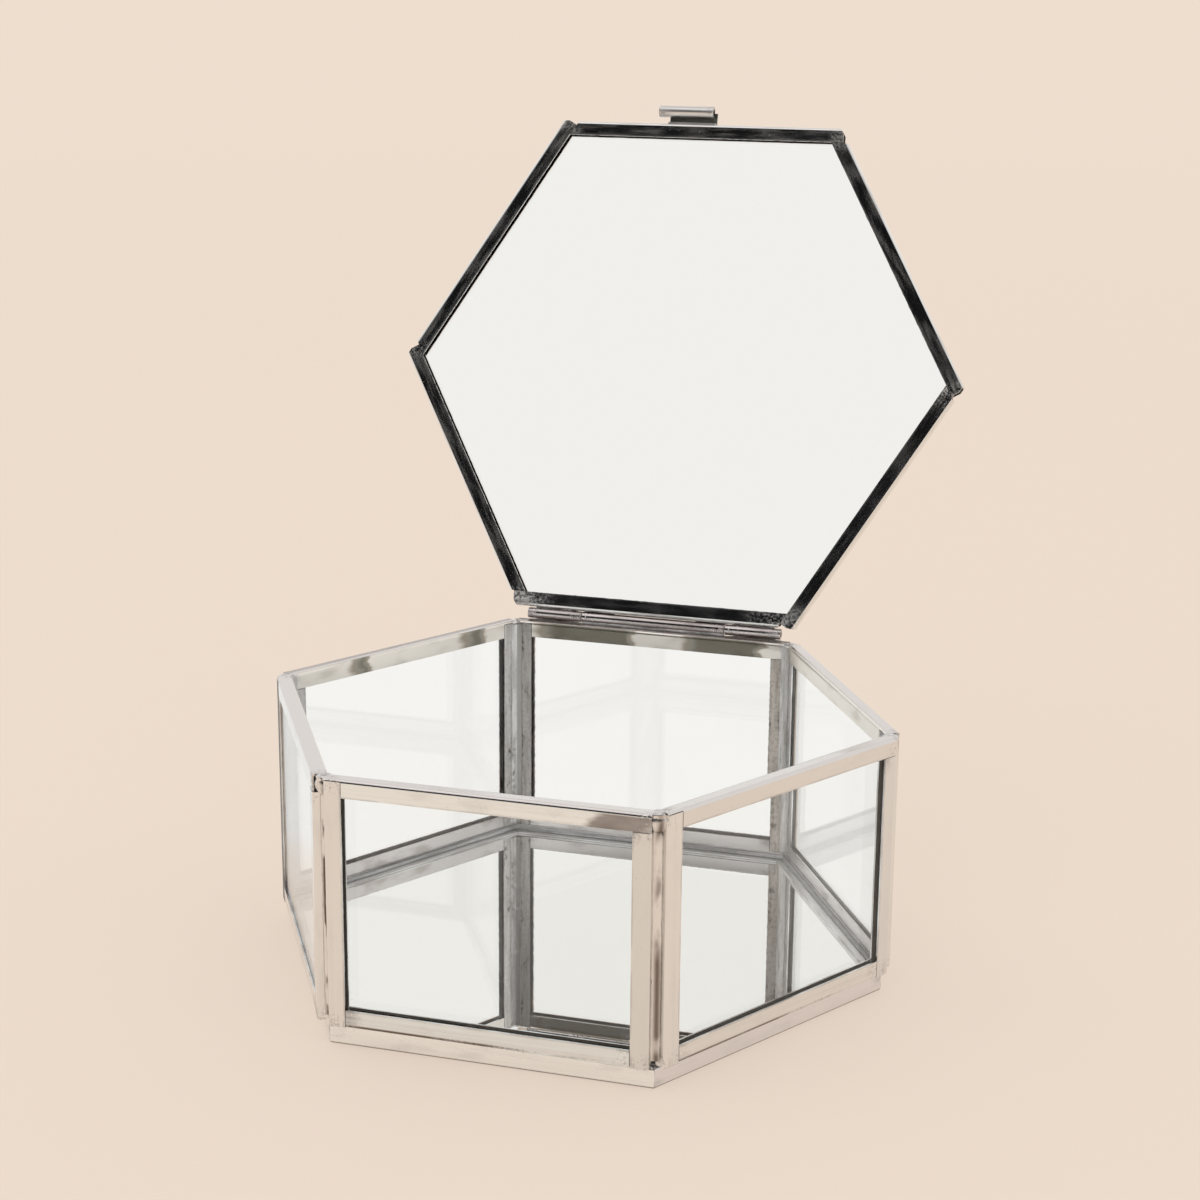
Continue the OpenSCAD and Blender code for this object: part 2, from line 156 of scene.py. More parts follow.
class Graph:
    """The nodes of one material or of the world."""

    def __init__(self, tree: bpy.types.NodeTree) -> None:
        """Empties the tree and keeps it."""
        self.tree = tree
        self.tree.nodes.clear()

    def node(self, kind: str, settings: dict[str, Any], inputs: dict[Any, Any]) -> bpy.types.Node:
        """Adds one node.

        Args:
            kind: the node's type.
            settings: its own settings, which are set first.
            inputs: values or links, by the name or the number of the socket.
        Returns:
            The new node.
        """
        made = self.tree.nodes.new(kind)
        for name, value in settings.items():
            setattr(made, name, value)
        for key, value in inputs.items():
            if isinstance(value, Shade):
                value = value.socket
            if isinstance(value, Socket):
                self.tree.links.new(value, made.inputs[key])
            elif isinstance(value, tuple) and made.inputs[key].type == "RGBA":
                made.inputs[key].default_value = (*value, 1.0)
            else:
                made.inputs[key].default_value = value
        return made

    def number(self, kind: str, settings: dict[str, Any], inputs: dict[Any, Any]) -> Shade:
        """Adds a node and returns its first output as a number."""
        return Shade(self, self.node(kind, settings, inputs).outputs[0])

    def vector_math(self, operation: str, *values: Any) -> bpy.types.Node:
        """Adds one Vector Math node that takes these values."""
        return self.node("ShaderNodeVectorMath", {"operation": operation}, dict(enumerate(values)))

    def mix(self, share: Shade | float, first: Any, second: Any) -> Socket:
        """Mixes two colours.

        Args:
            share: how much of the second colour shows.
            first: the colour at 0.
            second: the colour at 1.
        Returns:
            The socket that carries the mixed colour.
        """
        return self.node("ShaderNodeMix", {"data_type": "RGBA"}, {0: share, 6: first, 7: second}).outputs[2]

    def between(self, share: Shade | float, first: Shade | float, second: Shade | float) -> Shade:
        """Mixes two numbers, as mix() does with colours."""
        return self.number("ShaderNodeMix", {"data_type": "FLOAT"}, {0: share, 2: first, 3: second})

    def blend(self, share: Shade, first: bpy.types.Node, second: bpy.types.Node) -> bpy.types.Node:
        """Mixes two shaders. The share says how much of the second one shows."""
        return self.node("ShaderNodeMixShader", {}, {0: share, 1: first.outputs[0], 2: second.outputs[0]})

    def where(self, kind: str = "Object") -> Socket:
        """Where a point of the surface lies, or which way it faces, in one of its own systems."""
        return self.node("ShaderNodeTexCoord", {}, {}).outputs[kind]

    def ray(self, kind: str) -> Shade:
        """1 for rays of one kind, such as Glossy, and 0 for the others."""
        return Shade(self, self.node("ShaderNodeLightPath", {}, {}).outputs[f"Is {kind} Ray"])

    def dot(self, vector: Socket, axis: Vector) -> Shade:
        """Length of a vector along an axis."""
        return Shade(self, self.vector_math("DOT_PRODUCT", vector, axis).outputs["Value"])

    def length(self, vector: Socket) -> Shade:
        """Length of a vector."""
        return Shade(self, self.vector_math("LENGTH", vector).outputs["Value"])

    def stretched(self, vector: Socket, factors: Vector) -> Socket:
        """A vector with each of its three numbers multiplied by a factor of its own."""
        return self.vector_math("MULTIPLY", vector, factors).outputs[0]

    def split(self, vector: Socket) -> list[Shade]:
        """The three numbers of a vector."""
        return [Shade(self, part) for part in self.node("ShaderNodeSeparateXYZ", {}, {0: vector}).outputs]

    def point(self, x: Shade | float, y: Shade | float, z: Shade | float) -> Socket:
        """Joins three numbers into a vector."""
        return self.node("ShaderNodeCombineXYZ", {}, {0: x, 1: y, 2: z}).outputs[0]

    def noise(self, where: Socket, scale: float, detail: float = 3.0) -> Shade:
        """Soft cloudy noise around 0.5."""
        return self.number("ShaderNodeTexNoise", {}, {"Vector": where, "Scale": scale, "Detail": detail})

    def hairlines(self, where: Socket, scale: float, width: float) -> Shade:
        """Thin wandering lines, such as fine scratches.

        Args:
            where: the vector that the lines are drawn on.
            scale: how close together they lie.
            width: how wide they are, as a share of the noise's range.
        Returns:
            1 on a line and 0 off it.
        """
        return self.noise(where, scale, 1.0).near(0.5, width)

    def specks(self, where: Socket, scale: float, radius: float) -> Shade:
        """Small round specks, 1 inside and 0 outside."""
        distance = self.number("ShaderNodeTexVoronoi", {}, {"Vector": where, "Scale": scale})
        return distance.rise(radius, radius * 0.6)

    def bump(self, height: Shade) -> Socket:
        """Normal of a relief whose height is given in millimetres."""
        inputs = {"Strength": 1.0, "Distance": MM, "Height": height}
        return self.node("ShaderNodeBump", {}, inputs).outputs[0]

    def surface(self, **inputs: Any) -> None:
        """Ends a material in a Principled shader with these inputs, their spaces written as underscores."""
        values = {name.replace("_", " "): value for name, value in inputs.items()}
        shader = self.node("ShaderNodeBsdfPrincipled", {}, values)
        self.node("ShaderNodeOutputMaterial", {}, {0: shader.outputs[0]})


def new_material(name: str) -> tuple[bpy.types.Material, Graph]:
    """Makes an empty material and the graph to fill it with."""
    material = bpy.data.materials.new(name)
    material.use_nodes = True
    return material, Graph(material.node_tree)


# ---- places on the box ----


def outward(degrees: float) -> Vector:
    """Level direction that is turned by so much from the front about the upright axis."""
    turn = math.radians(degrees)
    return Vector((math.sin(turn), -math.cos(turn), 0))


def rightward(degrees: float) -> Vector:
    """Level direction to the right, seen from outside by someone who faces the box there."""
    turn = math.radians(degrees)
    return Vector((math.cos(turn), math.sin(turn), 0))


class Bearing(Enum):
    """A way round the box, by how far it is turned from the front."""

    @property
    def label(self) -> str:
        """Its name as the nodes have it."""
        return self.name.lower()

    @property
    def out(self) -> Vector:
        """Direction from the middle of the box."""
        return outward(self.value)

    @property
    def right(self) -> Vector:
        """Direction to the right, seen from outside."""
        return rightward(self.value)


class Side(Bearing):
    """The six sides."""

    FRONT = 0
    FRONT_RIGHT = 60
    BACK_RIGHT = 120
    BACK = 180
    BACK_LEFT = 240
    FRONT_LEFT = 300


class Corner(Bearing):
    """The six corners."""

    FRONT_RIGHT = 30
    RIGHT = 90
    BACK_RIGHT = 150
    BACK_LEFT = 210
    LEFT = 270
    FRONT_LEFT = 330


UP = Vector((0, 0, 1))


def on_open_lid(direction: Vector) -> Vector:
    """Turns a direction of the closed lid to where it points on the open lid."""
    return Matrix.Rotation(-math.radians(OPEN_ANGLE), 3, "X") @ direction


@dataclass(frozen=True)
class Place:
    """Directions of a long piece, with where it starts on each of them and how far it goes, in metres."""

    along: Vector
    reach: Vector
    depth: Vector
    low: Vector
    size: Vector

    @classmethod
    def of(cls, node: str, along: Vector, reach: Vector, depth: Vector) -> "Place":
        """Measures a CAD node.

        Args:
            node: the node's name.
            along: direction of the piece's length.
            reach: direction in which its flanges reach, away from its web.
            depth: direction across it, away from the room inside the box.
        Returns:
            The piece's place.
        """
        points = [vertex.co for vertex in frame["nodes"][node].data.vertices]
        spans = [[point.dot(axis) for point in points] for axis in (along, reach, depth)]
        low = Vector([min(span) for span in spans])
        return cls(along, reach, depth, low, Vector([max(span) for span in spans]) - low)

    def coordinates(self, graph: Graph) -> tuple[Shade, Shade, Shade]:
        """Millimetres along the piece, away from its web and across it, each from 0."""
        here = graph.where()
        axes = (self.along, self.reach, self.depth)
        return tuple((graph.dot(here, axis) - start) / MM for axis, start in zip(axes, self.low))

    def facing(self, graph: Graph) -> Shade:
        """How far the surface faces across the piece: 1 away from the room inside, -1 towards it."""
        return graph.dot(graph.where("Normal"), self.depth)


@dataclass(frozen=True)
class HexagonPlace:
    """Middle of a six-sided plate, the ways its sides face, and how far they lie from it, in metres."""

    ways: tuple[Vector, ...]
    middle: Vector
    half: float

    @classmethod
    def of(cls, node: str, ways: Iterable[Vector]) -> "HexagonPlace":
        """Measures a CAD node whose sides face the given ways."""
        ways = tuple(ways)
        middle = sum(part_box(node), Vector()) / 2
        corners = [vertex.co - middle for vertex in frame["nodes"][node].data.vertices]
        return cls(ways, middle, max(corner.dot(ways[0]) for corner in corners))

    def inward(self, graph: Graph) -> Shade:
        """Millimetres from the nearest side, towards the middle."""
        here = graph.where()
        spans = [graph.dot(here, way) - (self.middle.dot(way) + self.half) for way in self.ways]
        widest = spans[0]
        for span in spans[1:]:
            widest = widest.math("MAXIMUM", span)
        return widest / -MM


# ---- finishes ----


class InnerFace(Enum):
    """What covers the face of a channel that looks into the box."""

    BRIGHT = "bare metal"
    # Its clouds are tarnish; its dark stretches are a painted reflection of the box's inside.
    TARNISH_AND_REFLECTION = "metal clouded by flux smoke"
    TINNED = "metal washed over with solder"


@dataclass
class Look:
    """What a finish gives to its shader. Its layers change it one after another."""

    graph: Graph
    colour: Socket | Colour
    rough: Shade | float
    height: Shade | float = 0.0
    metal: Shade | float = 1.0

    def tint(self, share: Shade | float, colour: Socket | Colour) -> None:
        """Covers a share of what shows with a colour."""
        self.colour = self.graph.mix(share, self.colour, colour)


class Sheet:
    """Coordinates, faces and noises that the layers of sheet metal share, with lengths in millimetres."""

    def __init__(self, graph: Graph, place: Place, seed: float) -> None:
        """Measures the piece and draws its noises.

        Args:
            graph: the material's nodes.
            place: where the piece lies.
            seed: how far the noises are shifted along it.
        """
        self.graph = graph
        self.along, self.reach, self.across = place.coordinates(graph)
        self.length, self.span, depth = place.size / MM
        self.shifted = self.along + seed
        self.spot = graph.point(self.shifted, self.reach, self.across)
        self.facing = place.facing(graph)
        self.far_half = self.across.above(depth / 2)
        self.inside = self.facing.below(-0.5) * (1 - self.far_half)
        self.lining = (self.facing * (self.far_half * 2 - 1)).below(-0.5)
        self.lines = self.drawn(0.02, 1.6, 1.6, 5.0)
        self.clouds = self.drawn(0.09, 0.25, 0.25)
        self.fine = graph.noise(self.spot, 1.3, 4.0)

    def drawn(self, along: float, reach: float, across: float, detail: float = 4.0) -> Shade:
        """Noise that is drawn out along the piece.

        Args:
            along: how fast it changes along the piece.
            reach: how fast it changes away from the web.
            across: how fast it changes across the piece.
            detail: how many finer layers it has.
        Returns:
            The noise, around 0.5.
        """
        where = self.graph.point(self.shifted * along, self.reach * reach, self.across * across)
        return self.graph.noise(where, 1.0, detail)

    def ends(self, reach: float) -> Shade:
        """1 at both ends of the piece, falling to 0 this far from them."""
        return self.along.rise(reach, 0.5) + self.along.rise(self.length - reach, self.length - 0.5)


@dataclass(frozen=True)
class SheetMetal:
    """Bright rolled sheet, folded into channels: faint lines, clouds, specks, solder smears and grime.

    Attributes:
        inner: what covers the face that looks into the box.
        seed: shift of the noises along the piece, in millimetres.
        tone: the bare metal, which clouds and lines turn towards cloudy.
        hidden: painted shade on the faces that lie against the glass, which is hidden_pale in patches.
        inner_tone: the tarnished face. It turns singed at the thin edges of its clouds and painted
            reflections, and smoked where they are thick.
        tin: solder, which streaks turn towards tin_dark.
        crown: fall of the flanges from their middle line, in millimetres at one millimetre from it.
        wave: height of the long waves, in millimetres.
        lined: strength of the lines.
        smears: strength of the solder smears at the ends.
        smear_reach: length of the smears, in millimetres.
        chalky: how dull the smears are.
        haze: a share of smoked all over the tarnished face.
        smoke_and_reflection: stretches of that face that carry a painted dark reflection, in millimetres.
        scorch: stretches of the outer face that are scorched, in millimetres.
        fold_grime: painted shade along the outer fold.
        foot_shade: painted shade along the web's near edge, which is the foot of a rim strip.
        crest_shadow: painted shadow on the rest of the web, such as under the hinge's tubes.
        painted_edge_shade: how far the outer face and the web are painted near-black, as shade.
        scuffs: strength of the rubbed marks.
        stained: strength of the flux stains on solder.
        filmed: strength of the dull film.
        web: colour of the web where it has one of its own.
    """

    inner: InnerFace = InnerFace.BRIGHT
    seed: float = 0.0
    tone: Colour = (0.845, 0.85, 0.84)
    cloudy: Colour = (0.75, 0.745, 0.74)
    # The grime colour also paints the shade along folds, feet and crests.
    grime: Colour = (0.16, 0.11, 0.08)
    # Painted shade on the channel faces that lie against the glass: dark, with paler patches.
    hidden: Colour = (0.065, 0.065, 0.056)
    hidden_pale: Colour = (0.17, 0.17, 0.15)
    # Near-black painted shade for the outer face of the post at the box's far left edge.
    edge_shade: Colour = (0.02, 0.02, 0.016)
    scorched: Colour = (0.20, 0.165, 0.155)
    inner_tone: Colour = (0.90, 0.86, 0.80)
    # Dark colour of the painted reflections on the inner face, and of its clouds.
    smoked: Colour = (0.25, 0.235, 0.19)
    # Brown at the thin edges of the painted reflections.
    singed: Colour = (0.36, 0.26, 0.17)
    tin: Colour = (0.76, 0.75, 0.745)
    tin_dark: Colour = (0.40, 0.385, 0.375)
    stain: Colour = (0.11, 0.095, 0.085)
    crown: float = 0.008
    wave: float = 0.06
    rough: float = 0.10
    lined: float = 0.25
    smears: float = 0.5
    haze: float = 0.0
    smoke_and_reflection: tuple[tuple[float, float], ...] = ()
    scorch: tuple[tuple[float, float], ...] = ()
    fold_grime: float = 0.0
    foot_shade: float = 0.0
    crest_shadow: float = 0.0
    painted_edge_shade: float = 0.0
    scuffs: float = 0.0
    stained: float = 0.8
    chalky: float = 0.0
    smear_reach: float = 5.0
    film: Colour = (0.36, 0.31, 0.285)
    filmed: float = 0.0
    web: Colour | None = None

    def make(self, name: str, place: Place) -> bpy.types.Material:
        """Makes the finish for one piece.

        Args:
            name: name of the new material.
            place: where the piece lies, which its lines and grime follow.
        Returns:
            The material.
        """
        material, graph = new_material(name)
        sheet = Sheet(graph, place, self.seed)
        soft = self.chalky * 0.15
        mottled = (sheet.fine * 0.6 + sheet.clouds * 0.4).rise(0.47 - soft / 2, 0.56 + soft)
        smear = sheet.ends(self.smear_reach) * mottled * self.smears
        look = self.rolled(sheet, smear)
        if self.filmed:
            self.lay_film(look, sheet, smear)
        if self.painted_edge_shade:
            self.paint_edge_shade(look, sheet)
        if self.scuffs:
            self.scuff(look, sheet)
        if self.inner is InnerFace.TARNISH_AND_REFLECTION:
            self.tarnish_and_reflect(look, sheet, smear)
        if self.inner is InnerFace.TINNED:
            self.tin_over(look, sheet)
        self.shade_lining(look, sheet)
        graph.surface(
            Base_Color=look.colour, Metallic=look.metal, Roughness=look.rough, Normal=graph.bump(look.height),
            Specular_IOR_Level=0.1 if self.painted_edge_shade else 0.5,
        )
        return material

    def rolled(self, sheet: Sheet, smear: Shade) -> Look:
        """The sheet itself, with its lines, clouds, scorching, grime, pits and smears."""
        graph, clouds, lines = sheet.graph, sheet.clouds, sheet.lines
        pits = graph.specks(sheet.spot, 1.1, 0.13) * sheet.fine.rise(0.5, 0.6)
        dirt_and_shade = self.grime_and_shade(sheet)
        rough = self.rough + lines * 0.05 + clouds.rise(0.45, 0.75) * 0.12
        look = Look(graph, self.tone, rough + pits * 0.3 + smear * 0.35 + dirt_and_shade * 0.25)
        look.tint(lines.rise(0.3, 0.75) * self.lined + clouds.rise(0.5, 0.7) * 0.3, self.cloudy)
        if self.web:
            look.tint(sheet.reach.rise(0.9, 0.4), self.web)
        if self.scorch:
            scorched = self.stretches(sheet.along + sheet.reach, clouds, self.scorch)
            scorched = scorched * sheet.far_half * sheet.reach.rise(0.6, 1.2)
            look.tint(scorched * (0.6 + clouds * 0.4), self.scorched)
        # Grime, with painted shade along the fold, crest and foot.
        look.tint(dirt_and_shade, self.grime)
        look.tint(pits * 0.4, self.stain)
        look.tint(smear, graph.mix(lines.rise(0.4, 0.6), self.tin, self.tin_dark))
        height = sheet.drawn(0.07, 0.05, 0.05, 1.0) * self.wave + lines * self.lined * 0.006
        height = height + smear * sheet.fine * 0.12 * (1 - self.chalky) - pits * 0.01
        look.height = height - (sheet.reach - sheet.span / 2) ** 2.0 * self.crown
        look.metal = 1 - dirt_and_shade * 0.4 - smear * self.chalky
        return look

    def grime_and_shade(self, sheet: Sheet) -> Shade:
        """Darkening along the piece's edge, grime at its ends, and painted shade along its fold, crest and
        foot, from 0 to 1.
        """
        reach, across, clouds, fine = sheet.reach, sheet.across, sheet.clouds, sheet.fine
        edge = reach.rise(sheet.span - 0.6, sheet.span - 0.05) * clouds.rise(0.35, 0.6)
        dirt_and_shade = edge * 0.3 + sheet.ends(self.smear_reach) * clouds.rise(0.45, 0.65) * 0.2
        left_share = 1 - sheet.along / sheet.length
        patchy = (clouds * 0.4 + fine * 0.25 + left_share * 0.4).rise(0.38, 0.60)
        fold = reach.rise(1.1, 0.7) * sheet.far_half * patchy
        speckled = (fine * 0.5 + sheet.lines * 0.5).rise(0.25, 0.5)
        crest = reach.rise(0.6, 0.2) * across.rise(0.9, 1.8) * speckled
        foot = across.rise(0.8, 0.3) * reach.rise(1.0, 0.3)
        for place, amount in ((fold, self.fold_grime), (crest, self.crest_shadow), (foot, self.foot_shade)):
            dirt_and_shade = dirt_and_shade.math("MAXIMUM", place * amount)
        return dirt_and_shade

    def lay_film(self, look: Look, sheet: Sheet, smear: Shade) -> None:
        """Dulls the metal with a patchy film, clear of the smears."""
        film = sheet.drawn(0.09, 0.6, 1.0, 6.0).rise(0.42, 0.72) * self.filmed * (1 - smear)
        look.tint(film, self.film)
        look.metal = look.metal - film * 0.4

    def paint_edge_shade(self, look: Look, sheet: Sheet) -> None:
        """Paints the outer face and the web near-black, as shade at the box's far edge."""
        edge_shade = sheet.facing.above(0.3).math("MAXIMUM", sheet.reach.rise(0.6, 0.3))
        edge_shade = edge_shade * (sheet.fine.rise(0.3, 0.7) * 0.3 + 0.7) * self.painted_edge_shade
        look.tint(edge_shade, self.edge_shade)
        look.rough = sheet.graph.between(edge_shade, look.rough, 0.6)
        look.metal = look.metal * (1 - edge_shade)

    def scuff(self, look: Look, sheet: Sheet) -> None:
        """Rubs small dull marks into the metal."""
        rubbed = sheet.graph.specks(sheet.spot, 1.2, 0.12) * sheet.fine.rise(0.5, 0.62)
        rubbed = rubbed + sheet.fine.rise(0.60, 0.68) * sheet.clouds.rise(0.5, 0.62) * 0.35
        look.tint(rubbed * self.scuffs, self.tin)
        look.rough = look.rough + rubbed * 0.4 * self.scuffs

    def tarnish_and_reflect(self, look: Look, sheet: Sheet, smear: Shade) -> None:
        """Clouds the inner face and paints dark reflections on it in the given stretches, brown where they
        are thin.
        """
        smoke_and_reflection = self.stretches(sheet.along, sheet.clouds, self.smoke_and_reflection) * 0.95
        smoke_and_reflection = smoke_and_reflection + sheet.clouds.rise(0.5, 0.7) * 0.12 + self.haze
        thin = sheet.graph.mix(smoke_and_reflection.near(0.45, 0.4) * 0.6, self.inner_tone, self.singed)
        look.tint(sheet.inside * (1 - smear), sheet.graph.mix(smoke_and_reflection, thin, self.smoked))
        look.rough = look.rough + sheet.inside * (0.16 + smoke_and_reflection * 0.16)

    def tin_over(self, look: Look, sheet: Sheet) -> None:
        """Covers the inner face with solder drawn along it: streaks, flux stains and a wavy skin."""
        streaks = sheet.drawn(0.06, 0.7, 1.0, 3.0)
        patches = sheet.drawn(0.13, 0.4, 1.0)
        grains = sheet.graph.noise(sheet.spot, 0.9, 5.0)
        stains = patches.rise(0.55, 0.68) * grains.rise(0.40, 0.60)
        tinned = Look(sheet.graph, self.tin, 0.36 + streaks * 0.12 + grains * 0.1)
        tinned.tint(streaks.rise(0.36, 0.66) * 0.35 + grains.rise(0.45, 0.7) * 0.3, self.tin_dark)
        tinned.tint(patches.rise(0.48, 0.68) * 0.45, self.tin_dark)
        tinned.tint(stains * self.stained, self.stain)
        look.tint(sheet.inside, tinned.colour)
        look.rough = sheet.graph.between(sheet.inside, look.rough, tinned.rough)
        look.height = look.height + sheet.inside * (streaks * 0.04 + patches * 0.12 + grains * 0.04)

    def shade_lining(self, look: Look, sheet: Sheet) -> None:
        """Paints shade on the faces that lie against the glass, paler in patches."""
        shade_patches = sheet.drawn(0.12, 0.4, 1.0).rise(0.45, 0.72)
        look.tint(sheet.lining, sheet.graph.mix(shade_patches, self.hidden, self.hidden_pale))
        look.rough = sheet.graph.between(sheet.lining, look.rough, 0.5)
        look.metal = look.metal - sheet.lining * 0.75

    @staticmethod
    def stretches(along: Shade, clouds: Shade, parts: tuple[tuple[float, float], ...]) -> Shade | float:
        """Stretches of a piece, each with uneven ends.

        Args:
            along: millimetres along the piece.
            clouds: noise that makes the ends uneven.
            parts: where each stretch starts and ends, in millimetres.
        Returns:
            1 on a stretch, falling to 0 off it.
        """
        uneven = along + (clouds - 0.5) * 10
        covered = 0.0
        for start, end in parts:
            part = uneven.rise(start - 2.0, start + 2.0) * uneven.rise(end + 4.0, end - 4.0)
            covered = part + covered
        return covered


@dataclass(frozen=True)
class Groove:
    """Outer face of a corner's solder: flowed metal with a dark core that wanders along the groove, partly
    brown flux and partly painted shade of the groove's hollow.

    Attributes:
        across: direction across the groove.
        from_axis: how far from the box's axis the outer face begins, in metres.
        half_width: half of the dark core's width, in millimetres.
        hole_shade_below: height under which the groove is painted dark, as the shade of an open hole, in
            millimetres.
        clean_above: height over which the look ends, in millimetres.
        dark_at: stretches that are dark, if these are given, in millimetres of height.
    """

    across: Vector
    from_axis: float = 80.7 * MM
    bright: Colour = (0.84, 0.82, 0.80)
    dark: Colour = (0.13, 0.095, 0.075)
    half_width: float = 1.2
    hole_shade_below: float = 8.2
    clean_above: float = 68.7
    dark_at: tuple[tuple[float, float], ...] = ()

    def cover(self, look: Look) -> None:
        """Lays the groove's look over the outer part of the solder."""
        graph = look.graph
        here = graph.where()
        height = graph.dot(here, UP) / MM
        offset = graph.dot(here, self.across) / MM
        outside = graph.length(graph.stretched(here, Vector((1, 1, 0)))).above(self.from_axis)
        outside = outside * height.below(self.clean_above)
        seeded = graph.point(height * 0.16, offset * 0.35 + self.across.x * 9, self.across.y * 9)
        blotch = graph.noise(seeded, 1.0, 2.0)
        core = offset.size().rise(self.half_width, 0.2) * blotch.rise(0.46, 0.62)
        core = core + offset.size().rise(0.7, 1.15) * blotch.rise(0.62, 0.40) * 0.7
        if self.dark_at:
            stretches = SheetMetal.stretches(height, blotch, self.dark_at)
            core = (core * 0.3).math("MAXIMUM", offset.near(0.25, 1.5) * stretches * 0.9)
        # Painted shade: dark below the height of the open hole.
        core = core.math("MAXIMUM", height.rise(self.hole_shade_below, self.hole_shade_below - 1.2))
        look.tint(outside, graph.mix(core, self.bright, self.dark))
        look.rough = graph.between(outside, look.rough, 0.16 + blotch * 0.14)


@dataclass(frozen=True)
class Solder:
    """Soft solder: dull where the iron dragged it, brighter where it flowed, with flux stains."""

    tone: Colour = (0.52, 0.515, 0.51)
    dull: Colour = (0.30, 0.295, 0.29)
    stain: Colour = (0.10, 0.085, 0.075)
    # Painted highlight on the crest of the base solder.
    bright: Colour = (0.93, 0.92, 0.91)
    stretch: Vector = field(default_factory=lambda: Vector((1, 1, 1)))
    relief: float = 0.05
    rough: float = 0.30
    # Painted shade for one half of a corner's solder.
    shade: Colour = (0.42, 0.40, 0.38)
    shaded: float = 0.0
    singed: Colour = (0.27, 0.20, 0.14)
    singed_from: float = 38.0
    groove: Groove | None = None
    walls: HexagonPlace | None = None
    crest: float = 0.0

    def make(self, name: str) -> bpy.types.Material:
        """Makes the finish. Its streaks run along the walls if these are set, else as its stretch says."""
        material, graph = new_material(name)
        here = graph.where()
        if self.walls:
            slow = graph.dot(here, Vector((0.05, 0.04, 0)) / MM)
            drawn = graph.point(self.walls.inward(graph) * 1.3, graph.dot(here, UP) / MM * 1.3, slow)
        else:
            drawn = graph.stretched(here, self.stretch / MM)
        streaks = graph.noise(drawn, 0.9, 4.0)
        patches = graph.noise(drawn, 0.22, 4.0)
        grains = graph.noise(here, 900.0, 3.0)
        stains = patches.rise(0.52, 0.66) * grains.rise(0.35, 0.6)
        look = Look(graph, self.tone, self.rough + streaks * 0.2 + stains * 0.15)
        look.tint(streaks.rise(0.36, 0.66) * 0.8 + grains.rise(0.5, 0.7) * 0.2, self.dull)
        look.tint(stains * 0.75, self.stain)
        if self.walls:
            self.line_crest(look, patches)
        if self.groove:
            self.shade_one_side(look, streaks, patches)
            self.groove.cover(look)
        relief = graph.bump(streaks * self.relief + grains * 0.01)
        graph.surface(Base_Color=look.colour, Metallic=0.92, Roughness=look.rough, Normal=relief)
        return material

    def line_crest(self, look: Look, patches: Shade) -> None:
        """Paints a highlight on the crest of the run and on its outer side, and a broken line of painted
        shade under the crest.
        """
        graph = look.graph
        under = self.crest - graph.dot(graph.where(), UP) / MM
        look.tint(under.near(0.62, 0.35) * patches.rise(0.3, 0.6), self.stain)
        bright = under.rise(0.32, 0.12) + self.walls.inward(graph).below(-0.6)
        look.tint(bright.math("MINIMUM", 1.0), self.bright)

    def shade_one_side(self, look: Look, streaks: Shade, patches: Shade) -> None:
        """Paints shade on the left half of a corner's solder, seen from outside, and singes it towards its
        top.
        """
        graph = look.graph
        here = graph.where()
        away = graph.dot(here, self.groove.across).rise(0.1 * MM, -0.1 * MM)
        burn = graph.dot(here, UP) / MM + patches * 20
        burn = burn.rise(self.singed_from + 10, self.singed_from + 18) * patches.rise(0.40, 0.62)
        shade = graph.mix(streaks.rise(0.3, 0.7) * 0.5, self.shade, self.dull)
        look.tint(away * self.shaded, graph.mix(burn * 0.8, shade, self.singed))


@dataclass(frozen=True)
class ClearGlass:
    """Window glass with a little dust and wiped finger marks, and flux grime along its channels."""

    tone: Colour = (0.985, 0.988, 0.984)
    dusty: Colour = (0.90, 0.91, 0.90)
    grime: Colour = (0.020, 0.016, 0.014)
    grime_brown: Colour = (0.085, 0.055, 0.032)
    grime_thin: Colour = (0.14, 0.135, 0.115)
    ior: float = 1.5

    def make(self, name: str, grime: Callable[[Graph], tuple[Shade, Shade]]) -> bpy.types.Material:
        """Makes the finish.

        Args:
            name: name of the new material.
            grime: draws where grime covers the glass and where it is thinner, each from 0 to 1.
        Returns:
            The material.
        """
        material, graph = new_material(name)
        here = graph.where()
        wiped = graph.noise(here, 22.0, 4.0).rise(0.55, 0.75)
        dust = graph.specks(here, 420.0, 0.05) * graph.noise(here, 60.0).rise(0.5, 0.65)
        soil, thinned = grime(graph)
        rusty = graph.noise(here, 240.0, 4.0).rise(0.50, 0.66)
        colour = graph.mix(dust * 0.6 + wiped * 0.05, self.tone, self.dusty)
        deep = graph.mix(thinned, graph.mix(rusty * 0.8, self.grime, self.grime_brown), self.grime_thin)
        colour = graph.mix(soil, colour, deep)
        rough = wiped * 0.012 + dust * 0.25 + soil * 0.3
        height = graph.noise(here, 16.0, 1.0) * 0.012
        graph.surface(
            Base_Color=colour, Roughness=rough, Normal=graph.bump(height), IOR=self.ior,
            Transmission_Weight=1.0,
        )
        return material


